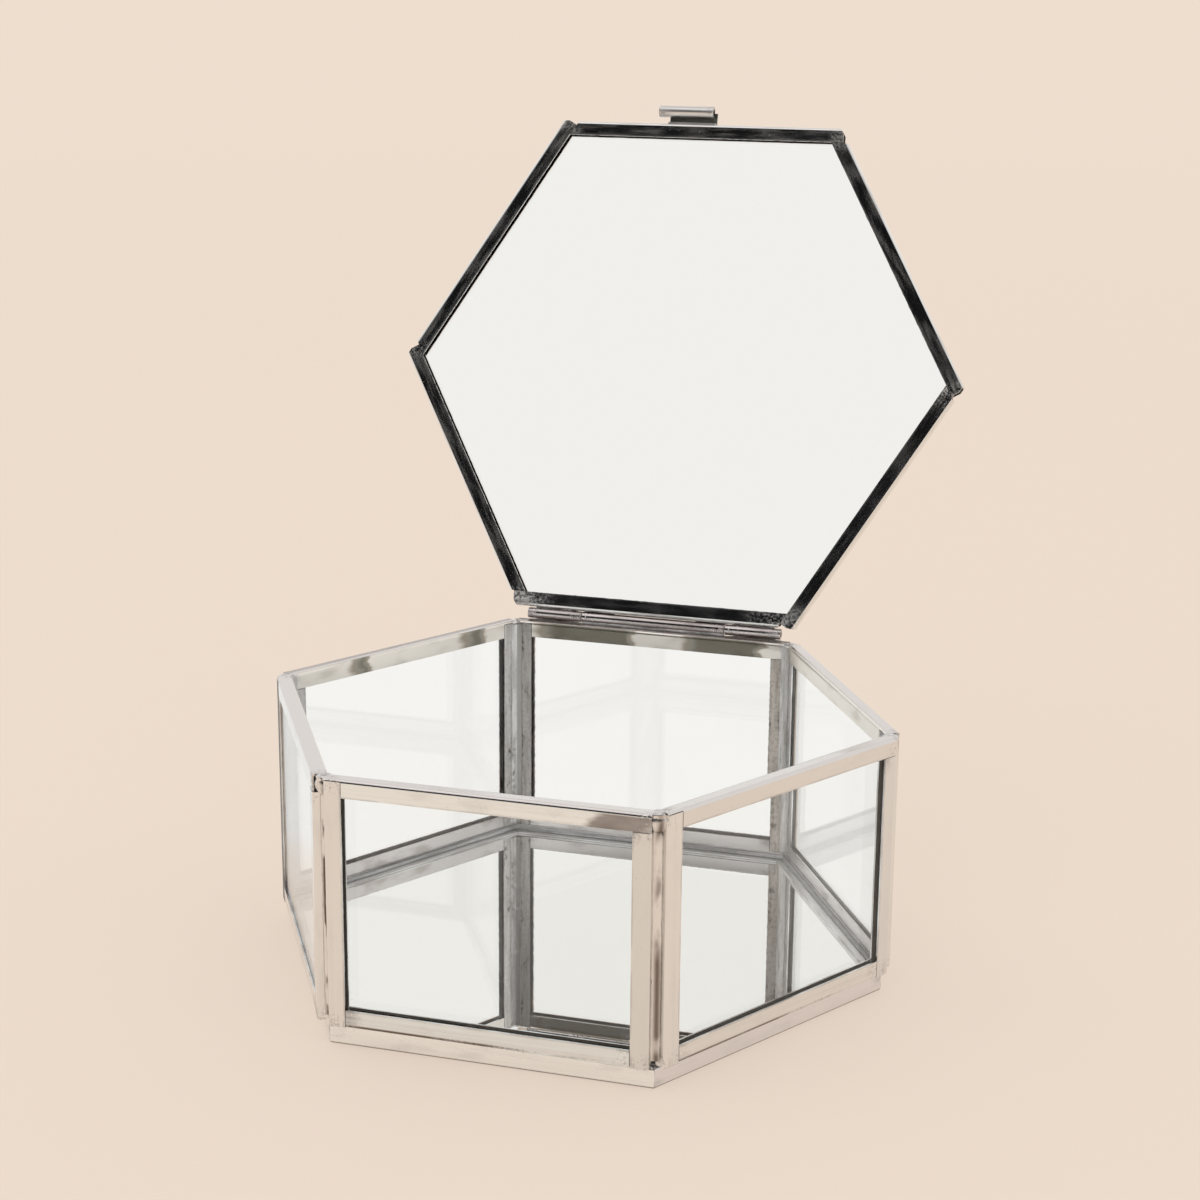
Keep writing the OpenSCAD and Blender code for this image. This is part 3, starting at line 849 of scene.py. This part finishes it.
@dataclass(frozen=True)
class WallGrime:
    """Bands of grime on the inner face of a wall pane, along the edges of the channels that hold it."""

    place: Place
    covered: float
    left: float = 0.3
    right: float = 0.3
    foot: float = 0.3
    head: float = 0.1
    uneven: float = 0.5
    thin: float = 1.0

    def __call__(self, graph: Graph) -> tuple[Shade, Shade]:
        """Where grime lies and where it is thinner, each from 0 to 1."""
        along, up, _ = self.place.coordinates(graph)
        length, height, _ = self.place.size / MM
        seed = self.place.low.x * 5000
        ragged = graph.noise(graph.point(along * 0.8 + seed, up * 0.8, 0.0), 1.0, 5.0)
        ragged = ragged.rise(0.25, 0.75) * 0.55 + 0.7
        bands = ((along, self.left), (length - along, self.right), (up, self.foot), (height - up, self.head))
        soil, thinned = 0.0, 0.0
        for distance, width in bands:
            uneven = min(width, self.uneven)
            inner = distance - self.covered - (width - uneven) - ragged * uneven
            soil = inner.rise(0.15, -0.1) + soil
            thinned = inner.rise(-0.5, -0.9) + thinned
        facing_in = self.place.facing(graph).below(-0.5)
        return soil.math("MINIMUM", 1.0) * facing_in, thinned.math("MINIMUM", 1.0) * self.thin


@dataclass(frozen=True)
class LidGrime:
    """A thin brown line of grime on the lid's glass, along its channels."""

    place: HexagonPlace
    covered: float
    width: float = 0.14

    def __call__(self, graph: Graph) -> tuple[Shade, Shade]:
        """Where grime lies and where it is thinner, each from 0 to 1."""
        here = graph.where()
        ragged = graph.noise(here, 700.0, 3.0).rise(0.40, 0.75) * self.width
        soil = (self.place.inward(graph) - self.covered - ragged).rise(0.06, -0.05)
        return soil, graph.noise(here, 300.0) * 0.3


@dataclass(frozen=True)
class Mirror:
    """Silvered plate: a bright mirror with faint haze, and flux specks towards its edge."""

    tone: Colour = (0.935, 0.94, 0.93)
    worn: Colour = (0.30, 0.31, 0.31)
    specked: float = 16.0

    def make(self, name: str, place: HexagonPlace) -> bpy.types.Material:
        """Makes the finish.

        Args:
            name: name of the new material.
            place: where the plate lies.
        Returns:
            The material.
        """
        material, graph = new_material(name)
        here = graph.where()
        edge = place.inward(graph).rise(self.specked, 0.0)
        wear = graph.specks(here, 700.0, 0.16) * graph.noise(here, 60.0, 4.0).rise(0.48, 0.6) * edge
        haze = graph.noise(here, 30.0, 4.0).rise(0.5, 0.75)
        lines = graph.hairlines(here, 60.0, 0.003)
        colour = graph.mix(wear * 0.8 + lines * 0.04, self.tone, self.worn)
        rough = 0.006 + haze * 0.012 + lines * 0.03 + wear * 0.3
        graph.surface(Base_Color=colour, Metallic=1.0, Roughness=rough)
        return material


@dataclass(frozen=True)
class Board:
    """Dark pressed board with a fibrous face."""

    tone: Colour = (0.055, 0.052, 0.05)
    fibre: Colour = (0.12, 0.11, 0.10)

    def make(self, name: str) -> bpy.types.Material:
        """Makes the finish."""
        material, graph = new_material(name)
        here = graph.where()
        fibres = graph.noise(here, 500.0, 6.0)
        scuffs = graph.hairlines(here, 45.0, 0.01)
        colour = graph.mix(fibres.rise(0.4, 0.7) * 0.8 + scuffs * 0.3, self.tone, self.fibre)
        rough = 0.75 + fibres * 0.15
        graph.surface(Base_Color=colour, Roughness=rough, Normal=graph.bump(fibres * 0.05))
        return material


# ---- modelling ----


def dress(node: str, material: bpy.types.Material) -> None:
    """Gives a CAD node its material and reports it."""
    slots = frame["nodes"][node].data.materials
    slots.clear()
    slots.append(material)
    LOG.info("dressed %s", node)


def deselect() -> None:
    """Leaves no object selected, so that an operator acts on what is picked next."""
    for thing in bpy.context.view_layer.objects:
        thing.select_set(False)


def pick(active: bpy.types.Object, *others: bpy.types.Object) -> None:
    """Leaves only these pieces selected, with the first one active."""
    deselect()
    for piece in (active, *others):
        piece.select_set(True)
    bpy.context.view_layer.objects.active = active


def apply_modifiers(piece: bpy.types.Object) -> None:
    """Applies the modifiers of a piece, in their order."""
    pick(piece)
    for modifier in list(piece.modifiers):
        bpy.ops.object.modifier_apply(modifier=modifier.name)


def merged_copy(node: str, name: str) -> bpy.types.Object:
    """Copies a CAD node's mesh into a new piece and closes its seams.

    Args:
        node: the CAD node.
        name: name of the new piece.
    Returns:
        The new piece.
    """
    piece = bpy.data.objects.new(name, frame["nodes"][node].data.copy())
    bpy.context.scene.collection.objects.link(piece)
    pick(piece)
    bpy.ops.object.mode_set(mode="EDIT")
    bpy.ops.mesh.select_all(action="SELECT")
    bpy.ops.mesh.remove_doubles(threshold=SEAM)
    bpy.ops.object.mode_set(mode="OBJECT")
    return piece


@dataclass(frozen=True)
class Dab:
    """A rounded dab of solder, given by its middle, its three radii and its turn about the upright axis."""

    middle: Vector
    radii: Vector
    turn: float = 0.0

    def add(self) -> bpy.types.Object:
        """Adds the dab at its place and size."""
        bpy.ops.mesh.primitive_uv_sphere_add(
            segments=32, ring_count=16, location=self.middle, scale=self.radii, rotation=(0, 0, self.turn)
        )
        return bpy.context.object


@dataclass(frozen=True)
class Film:
    """A flat film of solder, given by its middle, its three sizes and its lean about the hinge's axis."""

    middle: Vector
    sizes: Vector
    lean: float = 0.0

    def add(self) -> bpy.types.Object:
        """Adds the film at its place and size."""
        lean = (self.lean, 0, 0)
        bpy.ops.mesh.primitive_cube_add(size=1, location=self.middle, scale=self.sizes, rotation=lean)
        return bpy.context.object


@dataclass
class SolderRun:
    """A run of solder, remade from the CAD solid with a lumpy skin and with further dabs and films.

    Attributes:
        node: the CAD node that it stands for.
        name: name of the new piece.
        body: the body that it moves with.
        slot: the slot that its finish is for; not used.
        extras: the further dabs and films.
        grain: size of the skin's mesh.
        lump: height of the lumps.
        lump_size: width of the lumps.
        softened: how often the skin is smoothed before it gets its lumps.
        small_height: height of the small lumps, as a share of the others'.
        small_size: width of the small lumps, as a share of the others'.
        sunk: level of the noise that leaves the skin in its place.
    """

    node: str
    name: str
    body: str
    slot: str
    extras: tuple[Dab | Film, ...]
    grain: float = 0.32 * MM
    lump: float = 0.22 * MM
    lump_size: float = 3.0 * MM
    softened: int = 3
    small_height: float = 0.45
    small_size: float = 0.35
    sunk: float = 0.62

    def build(self, material: bpy.types.Material) -> None:
        """Builds the run in its finish."""
        piece = merged_copy(self.node, self.name)
        self.join_extras(piece)
        remesh = piece.modifiers.new("skin", "REMESH")
        remesh.mode = "VOXEL"
        remesh.voxel_size = self.grain
        soften = piece.modifiers.new("soften", "SMOOTH")
        soften.iterations = self.softened
        for share, size in ((1.0, self.lump_size), (self.small_height, self.lump_size * self.small_size)):
            lumps = bpy.data.textures.new(self.name + "_lumps", "CLOUDS")
            lumps.noise_scale = size
            lumps.noise_depth = 2
            heave = piece.modifiers.new("lumps", "DISPLACE")
            heave.texture = lumps
            heave.texture_coords = "GLOBAL"
            heave.strength = self.lump * share
            heave.mid_level = self.sunk
        apply_modifiers(piece)
        bpy.ops.object.shade_smooth()
        piece.data.materials.clear()
        piece.data.materials.append(material)
        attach(piece, self.body)
        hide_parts(self.node)
        LOG.info("built %s for %s", self.name, self.node)

    def join_extras(self, piece: bpy.types.Object) -> None:
        """Joins the further dabs and films to the piece."""
        deselect()
        added = [extra.add() for extra in self.extras]
        pick(piece, *added)
        bpy.ops.object.join()


# ---- the box ----


@dataclass
class BaseTray:
    """The channel rim with the mirror and its board, and the solder at the foot of the walls."""

    # Painted light and shade: the front rim is coloured whiter and the front-right rim darker than the other
    # sides.
    rim: dict[Side, dict[str, Any]] = field(default_factory=lambda: {
        Side.FRONT: {"tone": (0.97, 1.0, 1.0), "rough": 0.22},
        Side.FRONT_RIGHT: {"tone": (0.86, 0.845, 0.87)},
    })
    thread_radius: float = 81.15 * MM
    thread_width: float = 0.42 * MM
    thread_share: float = 0.47

    @property
    def plate(self) -> HexagonPlace:
        """Where the mirror plate lies."""
        return HexagonPlace.of("base_mirror", (side.out for side in Side))

    def dress(self) -> None:
        """Dresses the rim, the mirror and the board."""
        for side in Side:
            node = f"base_rim_{side.label}"
            place = Place.of(node, side.right, -side.out, UP)
            looks = {"tone": (0.93, 0.935, 0.94), "rough": 0.32, **self.rim.get(side, {})}
            finish = SheetMetal(seed=side.value * 1.7, smears=0.1, wave=0.03, foot_shade=0.9, **looks)
            dress(node, finish.make(f"{node}_metal", place))
        dress("base_mirror", Mirror().make("silvered_plate", self.plate))
        dress("mirror_backing", Board().make("pressed_board"))

    def build(self) -> None:
        """Builds the solder, with a thin thread of it in each of the rim's corners."""
        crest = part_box("base_solder")[1].z / MM
        finish = Solder(
            tone=(0.52, 0.53, 0.54), dull=(0.19, 0.20, 0.205), relief=0.09, walls=self.plate, crest=crest,
        )
        run = SolderRun("base_solder", "base_solder_run", "box", "solder", self.threads())
        run.build(finish.make("base_solder_finish"))

    def threads(self) -> tuple[Dab, ...]:
        """Upright threads of solder, one in each mitred corner of the rim."""
        low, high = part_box("base_rim_front")
        radii = Vector((self.thread_width, self.thread_width, (high.z - low.z) * self.thread_share))
        middle = UP * (low.z + high.z) / 2
        return tuple(Dab(corner.out * self.thread_radius + middle, radii) for corner in Corner)


@dataclass
class Walls:
    """Six panes, each in its four folded channels, and the solder in the corners between them.

    Attributes:
        special: what single channels have of their own.
        grime: widths of the grime along the edges of single panes, in millimetres.
        bottom_strips: what the bottom strips have in common.
        top_strips: what the top strips have in common.
        grooves: the outer face of the solder in single corners.
        inside: the inner face of the solder in single corners.
        dab_radius: how far the dab on a corner's top lies from the box's axis.
        dab_radii: the dab's three radii.
        dab_above: how far the dab stands above the walls.
        plug_radius: how far the plug lies from the axis. It fills a top strip's open end.
        plug_radii: the plug's three radii.
        plug_drop: how far its middle lies below the top of the walls.
    """

    # Painted light and shade: the front pane's strips are coloured whiter; its right post and the front-right
    # pane's top strip and right post are coloured darker. At the back-left corner, one post's tin is lighter
    # and the other's darker. The far left post is painted near-black.
    special: dict[str, dict[str, Any]] = field(default_factory=lambda: {
        "front_pane_top_strip": {"scorch": ((68.0, 84.0),), "rough": 0.16, "tone": (0.92, 0.975, 0.985)},
        "front_pane_left_post": {"hidden": (0.040, 0.032, 0.030), "hidden_pale": (0.055, 0.045, 0.042)},
        "front_pane_right_post": {"tone": (0.79, 0.80, 0.79)},
        "front_pane_bottom_strip": {"tone": (0.86, 0.93, 0.96), "fold_grime": 1.0},
        "front_right_pane_top_strip": {"tone": (0.82, 0.82, 0.81)},
        "front_right_pane_right_post": {
            "tone": (0.80, 0.81, 0.81), "hidden": (0.45, 0.44, 0.39), "hidden_pale": (0.75, 0.74, 0.69),
        },
        "back_pane_top_strip": {"smoke_and_reflection": ((8.0, 29.0), (45.0, 72.0)), "crest_shadow": 0.9},
        "back_left_pane_top_strip": {"smoke_and_reflection": ((12.0, 19.0), (53.0, 58.0)), "crest_shadow": 0.5},
        "back_left_pane_left_post": {
            "tin": (0.88, 0.865, 0.85), "tin_dark": (0.58, 0.555, 0.53), "hidden": (0.14, 0.135, 0.12),
            "hidden_pale": (0.34, 0.335, 0.31),
        },
        "back_pane_right_post": {
            "tin": (0.70, 0.68, 0.66), "tin_dark": (0.34, 0.32, 0.30), "hidden": (0.12, 0.115, 0.10),
            "hidden_pale": (0.28, 0.275, 0.25),
        },
        "back_pane_left_post": {"tin": (0.78, 0.73, 0.68), "tin_dark": (0.30, 0.25, 0.20)},
        "back_right_pane_right_post": {"tin": (0.82, 0.82, 0.825), "stained": 0.4},
        "front_left_pane_left_post": {"painted_edge_shade": 0.95},
    })
    grime: dict[Side, dict[str, float]] = field(default_factory=lambda: {
        Side.FRONT: {"left": 2.0, "right": 0.2, "foot": 1.1},
        Side.FRONT_RIGHT: {"right": 3.4, "foot": 0.8},
        Side.BACK: {"left": 0.25, "right": 0.4},
        Side.BACK_LEFT: {"left": 0.4},
        Side.FRONT_LEFT: {"left": 3.2, "thin": 0.0},
    })
    bottom_strips: dict[str, Any] = field(default_factory=lambda: {
        "fold_grime": 0.9, "haze": 0.15, "lined": 0.5, "inner_tone": (0.95, 0.93, 0.935),
        "smoked": (0.38, 0.365, 0.37), "hidden": (0.28, 0.25, 0.20), "hidden_pale": (0.65, 0.64, 0.60),
    })
    top_strips: dict[str, Any] = field(default_factory=lambda: {"web": (0.765, 0.735, 0.72)})
    # Painted shade: the far left corner's groove is near-black and the right corner's darker; the front-right
    # corner's core is dark in the listed stretches, partly flux and partly painted shade.
    grooves: dict[Corner, dict[str, Any]] = field(default_factory=lambda: {
        Corner.LEFT: {"bright": (0.05, 0.05, 0.042), "dark": (0.02, 0.02, 0.016)},
        Corner.RIGHT: {"bright": (0.70, 0.685, 0.675)},
        Corner.FRONT_RIGHT: {"dark_at": ((61.5, 68.6), (48.6, 51.4), (14.0, 37.0), (5.0, 11.5))},
    })
    # Painted light and shade: one half of a corner's solder is coloured lighter and the other darker, as
    # light falls on it.
    inside: dict[Corner, dict[str, Any]] = field(default_factory=lambda: {
        Corner.BACK_LEFT: {"tone": (0.96, 0.955, 0.95), "dull": (0.66, 0.65, 0.64), "shaded": 0.85},
        Corner.BACK_RIGHT: {"shaded": 0.35},
    })
    dab_radius: float = 81.3 * MM
    dab_radii: Vector = field(default_factory=lambda: Vector((2.1, 2.5, 0.55)) * MM)
    dab_above: float = 0.1 * MM
    plug_radius: float = 81.7 * MM
    plug_radii: Vector = field(default_factory=lambda: Vector((1.65, 2.8, 2.45)) * MM)
    plug_drop: float = 2.5 * MM

    def dress(self) -> None:
        """Dresses the channels and the glass of every side."""
        for side in Side:
            self.dress_channels(side)
            self.dress_glass(side)

    def dress_channels(self, side: Side) -> None:
        """Dresses the four channels of one side."""
        strips = {
            "top_strip": (side.right, -UP, InnerFace.TARNISH_AND_REFLECTION, self.top_strips),
            "bottom_strip": (side.right, UP, InnerFace.TARNISH_AND_REFLECTION, self.bottom_strips),
            "left_post": (UP, side.right, InnerFace.TINNED, {}),
            "right_post": (UP, -side.right, InnerFace.TINNED, {}),
        }
        for count, (strip, (along, reach, inner, usual)) in enumerate(strips.items()):
            node = f"{side.label}_pane_{strip}"
            looks = {**usual, **self.special.get(node, {})}
            finish = SheetMetal(inner=inner, seed=side.value * 2.3 + count * 37.0, **looks)
            dress(node, finish.make(f"{node}_metal", Place.of(node, along, reach, side.out)))

    def dress_glass(self, side: Side) -> None:
        """Dresses the glass of one side."""
        node = f"{side.label}_pane_glass"
        strip_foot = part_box(f"{side.label}_pane_top_strip")[0].z
        covered = (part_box(node)[1].z - strip_foot) / MM
        grime = WallGrime(Place.of(node, side.right, UP, side.out), covered, **self.grime.get(side, {}))
        dress(node, ClearGlass().make(f"{side.label}_wall_glass", grime))

    def build(self) -> None:
        """Builds the solder in the corners, each with a plug and a dab at its top."""
        wall_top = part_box("front_pane_top_strip")[1].z
        dab_height = wall_top + self.dab_above - self.dab_radii.z
        plug_height = wall_top - self.plug_drop
        for corner in Corner:
            name = f"{corner.label}_corner_solder"
            turn = math.radians(corner.value) - math.pi / 2
            dab = Dab(corner.out * self.dab_radius + UP * dab_height, self.dab_radii, turn)
            plug = Dab(corner.out * self.plug_radius + UP * plug_height, self.plug_radii, turn)
            groove = Groove(corner.right, **self.grooves.get(corner, {}))
            looks = {"tone": (0.86, 0.85, 0.845), "dull": (0.52, 0.505, 0.49), **self.inside.get(corner, {})}
            finish = Solder(stretch=Vector((1, 1, 0.12)), groove=groove, **looks)
            run = SolderRun(f"{corner.label}_corner_seam", name, "box", "solder", (dab, plug))
            run.build(finish.make(f"{name}_finish"))


@dataclass
class Lid:
    """The framed glass lid with its rolled lip."""

    smeared: dict[Side, dict[str, float]] = field(default_factory=lambda: {
        Side.BACK: {"smears": 0.9, "smear_reach": 15.0, "filmed": 0.1},
        Side.BACK_RIGHT: {"smears": 0.7, "smear_reach": 9.0, "filmed": 0.1},
    })

    def dress(self) -> None:
        """Dresses the lid's glass, its six channels and the lip."""
        for side in Side:
            node = f"lid_{side.label}_channel"
            along, reach, depth = (on_open_lid(way) for way in (side.right, -side.out, UP))
            smeared = self.smeared.get(side, {"smears": 0.4, "filmed": 0.32})
            finish = SheetMetal(
                seed=side.value * 3.1, wave=0.03, scuffs=0.8, lined=0.08, rough=0.05, chalky=0.6, **smeared,
            )
            dress(node, finish.make(f"{node}_metal", Place.of(node, along, reach, depth)))
        along, reach, depth = (on_open_lid(way) for way in (Side.FRONT.right, Side.FRONT.out, UP))
        place = Place.of("lift_tab", along, reach, depth)
        finish = SheetMetal(seed=11.0, crown=0.0, wave=0.01, rough=0.3, filmed=0.4)
        dress("lift_tab", finish.make("lift_tab_metal", place))
        self.dress_glass()

    def dress_glass(self) -> None:
        """Dresses the glass, with its grime where the channels end."""
        plate = HexagonPlace.of("lid_glass", (on_open_lid(side.out) for side in Side))
        inward = on_open_lid(-Side.FRONT.out)
        channel = Place.of("lid_front_channel", on_open_lid(Side.FRONT.right), inward, on_open_lid(UP))
        glass_edge = plate.middle.dot(inward) - plate.half
        covered = (channel.low.y + channel.size.y - glass_edge) / MM
        dress("lid_glass", ClearGlass().make("lid_glass_finish", LidGrime(plate, covered)))


@dataclass
class Hinge:
    """Three tubes on one wire, soldered by turns to the wall and to the lid."""

    seeds: dict[str, float] = field(default_factory=lambda: {
        "hinge_body_knuckle": 26.0, "hinge_left_knuckle": 39.0, "hinge_right_knuckle": 26.0,
        "hinge_pin": 13.0,
    })
    grain: float = 0.2 * MM
    wall_lump: float = 0.12 * MM
    lid_lump: float = 0.1 * MM
    ridge_radii: Vector = field(default_factory=lambda: Vector((9.5, 0.75, 0.9)) * MM)
    ridge_drop: float = 0.05 * MM
    ridge_back: float = 0.47 * MM
    film_width: float = 2.4 * MM
    film_past: float = 3.0 * MM
    film_out: float = 0.2 * MM
    film_in: float = 0.35 * MM

    def dress(self) -> None:
        """Dresses the tubes and the wire."""
        for node, seed in self.seeds.items():
            place = Place.of(node, Vector((1, 0, 0)), UP, Vector((0, 1, 0)))
            finish = SheetMetal(
                seed=seed, tone=(0.84, 0.80, 0.80), cloudy=(0.26, 0.215, 0.195), tin=(0.90, 0.88, 0.885),
                tin_dark=(0.50, 0.46, 0.46), crown=0.0, rough=0.18, smears=0.9, lined=0.9, chalky=0.3,
            )
            dress(node, finish.make(f"{node}_metal", place))

    def build(self) -> None:
        """Builds the solder that holds the tubes."""
        finish = Solder(tone=(0.72, 0.70, 0.69), stretch=Vector((0.3, 1, 1))).make("hinge_solder_finish")
        SolderRun(
            "hinge_body_solder", "hinge_wall_solder", "box", "solder", self.wall_ridges(),
            grain=self.grain, lump=self.wall_lump,
        ).build(finish)
        SolderRun(
            "hinge_lid_solder", "hinge_edge_solder", "lid", "solder", (self.lid_film(),),
            grain=self.grain, lump=self.lid_lump,
        ).build(finish)

    def wall_ridges(self) -> tuple[Dab, Dab]:
        """Low ridges of solder on the back of the wall, under the outer tubes and clear of them."""
        wall_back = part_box("back_pane_top_strip")[1].y
        ridges = []
        for node in ("hinge_left_knuckle", "hinge_right_knuckle"):
            middle = sum(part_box(node), Vector()) / 2
            middle.y = wall_back + self.ridge_back
            middle.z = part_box(node)[0].z - self.ridge_drop - self.ridge_radii.z
            ridges.append(Dab(middle, self.ridge_radii))
        return tuple(ridges)

    def lid_film(self) -> Film:
        """A film of solder on the lid's edge behind the middle tube."""
        low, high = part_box("hinge_body_knuckle")
        axis = (low + high) / 2
        away = on_open_lid(Side.BACK.out)
        web = max(vertex.co.dot(away) for vertex in frame["nodes"]["lid_back_channel"].data.vertices)
        middle = axis + away * (web - axis.dot(away) + (self.film_out - self.film_in) / 2)
        sizes = Vector((high.x - low.x + 2 * self.film_past, self.film_out + self.film_in, self.film_width))
        return Film(middle, sizes, -math.radians(OPEN_ANGLE))


# ---- studio ----


@dataclass
class Studio:
    """A pale seamless floor under an even sky, with the room in front of the box left dark to the metal."""

    floor_radius: float = 12.0
    paper: Colour = (0.855, 0.722, 0.612)
    backdrop: Colour = (0.855, 0.728, 0.620)
    near_glow: float = 0.7
    glow_from: float = 0.5
    glow_full: float = 3.0
    through_glass: Colour = (0.925, 0.915, 0.89)
    white_card: Colour = (0.88, 0.87, 0.85)
    sky: Colour = (0.93, 0.92, 0.91)
    round_about: Colour = (0.88, 0.86, 0.84)
    overhead: Colour = (0.73, 0.685, 0.67)
    front_room: Colour = (0.006, 0.006, 0.0065)
    card_side: tuple[float, float] = (-0.09, -0.13)
    card_front: tuple[float, float] = (-0.08, 0.0)
    lamp_power: float = 3.0
    lamp_size: float = 1.8
    lamp_place: Vector = field(default_factory=lambda: Vector((-0.9, -0.5, 1.6)))
    lamp_aim: Vector = field(default_factory=lambda: Vector((0, 0, 0.05)))

    def build(self) -> None:
        """Builds the floor, the sky and the lamp."""
        self.build_floor()
        self.build_sky()
        self.build_lamp()

    def build_floor(self) -> None:
        """Builds the floor: lit paper that shades into the backdrop, with a card that only gloss shows."""
        deselect()
        bpy.ops.mesh.primitive_circle_add(vertices=96, radius=self.floor_radius, fill_type="NGON")
        floor = bpy.context.object
        floor.name = "studio_floor"
        material, graph = new_material("seamless_paper")
        here = graph.where()
        glowing = graph.length(here).rise(self.glow_from, self.glow_full)
        glowing = glowing * (1 - self.near_glow) + self.near_glow
        paper = graph.mix(graph.noise(here, 2.5, 3.0) * 0.12, self.paper, self.backdrop)
        matt = graph.node("ShaderNodeBsdfDiffuse", {}, {"Color": paper})
        sideways, backwards, _ = graph.split(here)
        card = sideways.rise(*self.card_side) * backwards.rise(*self.card_front) * graph.ray("Glossy")
        lit = graph.mix(card, self.backdrop, self.white_card)
        glow = graph.node("ShaderNodeEmission", {}, {"Color": lit})
        behind_glass = graph.node("ShaderNodeEmission", {}, {"Color": self.through_glass})
        seen = graph.ray("Camera").math("MAXIMUM", graph.ray("Glossy"))
        shown = graph.blend((seen * glowing).math("MAXIMUM", card), matt, glow)
        shown = graph.blend(graph.ray("Transmission"), shown, behind_glass)
        graph.node("ShaderNodeOutputMaterial", {}, {0: shown.outputs[0]})
        floor.data.materials.append(material)

    def build_sky(self) -> None:
        """Builds the sky: even for matt surfaces, with a bright top and a dark front for gloss."""
        world = bpy.data.worlds.new("studio_sky")
        bpy.context.scene.world = world
        world.use_nodes = True
        graph = Graph(world.node_tree)
        _, backwards, height = graph.split(graph.where("Generated"))
        room = (backwards * -1).rise(0.20, 0.40) * height.rise(0.01, 0.05) * height.rise(0.80, 0.70)
        gloss = graph.mix(height.rise(0.70, 0.85), self.round_about, self.overhead)
        gloss = graph.mix(room, gloss, self.front_room)
        colour = graph.mix(graph.ray("Glossy"), self.sky, gloss)
        colour = graph.mix(graph.ray("Transmission"), colour, self.through_glass)
        colour = graph.mix(graph.ray("Camera"), colour, self.backdrop)
        glow = graph.node("ShaderNodeBackground", {}, {"Color": colour, "Strength": 1.0})
        graph.node("ShaderNodeOutputWorld", {}, {0: glow.outputs[0]})

    def build_lamp(self) -> None:
        """Builds one soft lamp, high on the left."""
        deselect()
        bpy.ops.object.light_add(type="AREA", location=self.lamp_place)
        lamp = bpy.context.object
        lamp.name = "soft_lamp"
        lamp.data.energy = self.lamp_power
        lamp.data.size = self.lamp_size
        lamp.rotation_euler = (self.lamp_aim - lamp.location).to_track_quat("-Z", "Y").to_euler()


@dataclass
class PhotoCamera:
    """The camera at the photograph's viewing angle."""

    azimuth: float = 16.519
    elevation: float = 15.293
    roll: float = 0.469
    distance: float = 600.454 * MM
    target: Vector = field(default_factory=lambda: Vector((5.712, 0, 97.061)) * MM)
    focal_pixels: float = 2365.045
    image_width: float = 1200.0
    sensor: float = 36.0
    clip_start: float = 0.01

    def build(self) -> None:
        """Builds the camera and makes it the scene's."""
        turn = math.radians(self.azimuth)
        rise = math.radians(self.elevation)
        back = Vector((math.sin(turn) * math.cos(rise), -math.cos(turn) * math.cos(rise), math.sin(rise)))
        right = rightward(self.azimuth)
        upright = Matrix((right, back.cross(right), back)).transposed()
        rolled = upright @ Matrix.Rotation(math.radians(self.roll), 3, "Z")
        data = bpy.data.cameras.new("photo_camera")
        data.sensor_width = self.sensor
        data.lens = self.sensor * self.focal_pixels / self.image_width
        data.clip_start = self.clip_start
        camera = bpy.data.objects.new("photo_camera", data)
        camera.matrix_world = Matrix.Translation(self.target + back * self.distance) @ rolled.to_4x4()
        bpy.context.scene.collection.objects.link(camera)
        bpy.context.scene.camera = camera


def main() -> None:
    """Builds and dresses everything, in order."""
    logging.basicConfig(level=logging.INFO, format="%(name)s: %(message)s")
    bpy.context.scene.view_settings.view_transform = "Standard"
    Studio().build()
    PhotoCamera().build()
    tray, walls, lid, hinge = BaseTray(), Walls(), Lid(), Hinge()
    for part in (tray, walls, lid, hinge):
        part.dress()
    for part in (tray, walls, hinge):
        part.build()


if __name__ == "__main__":
    main()
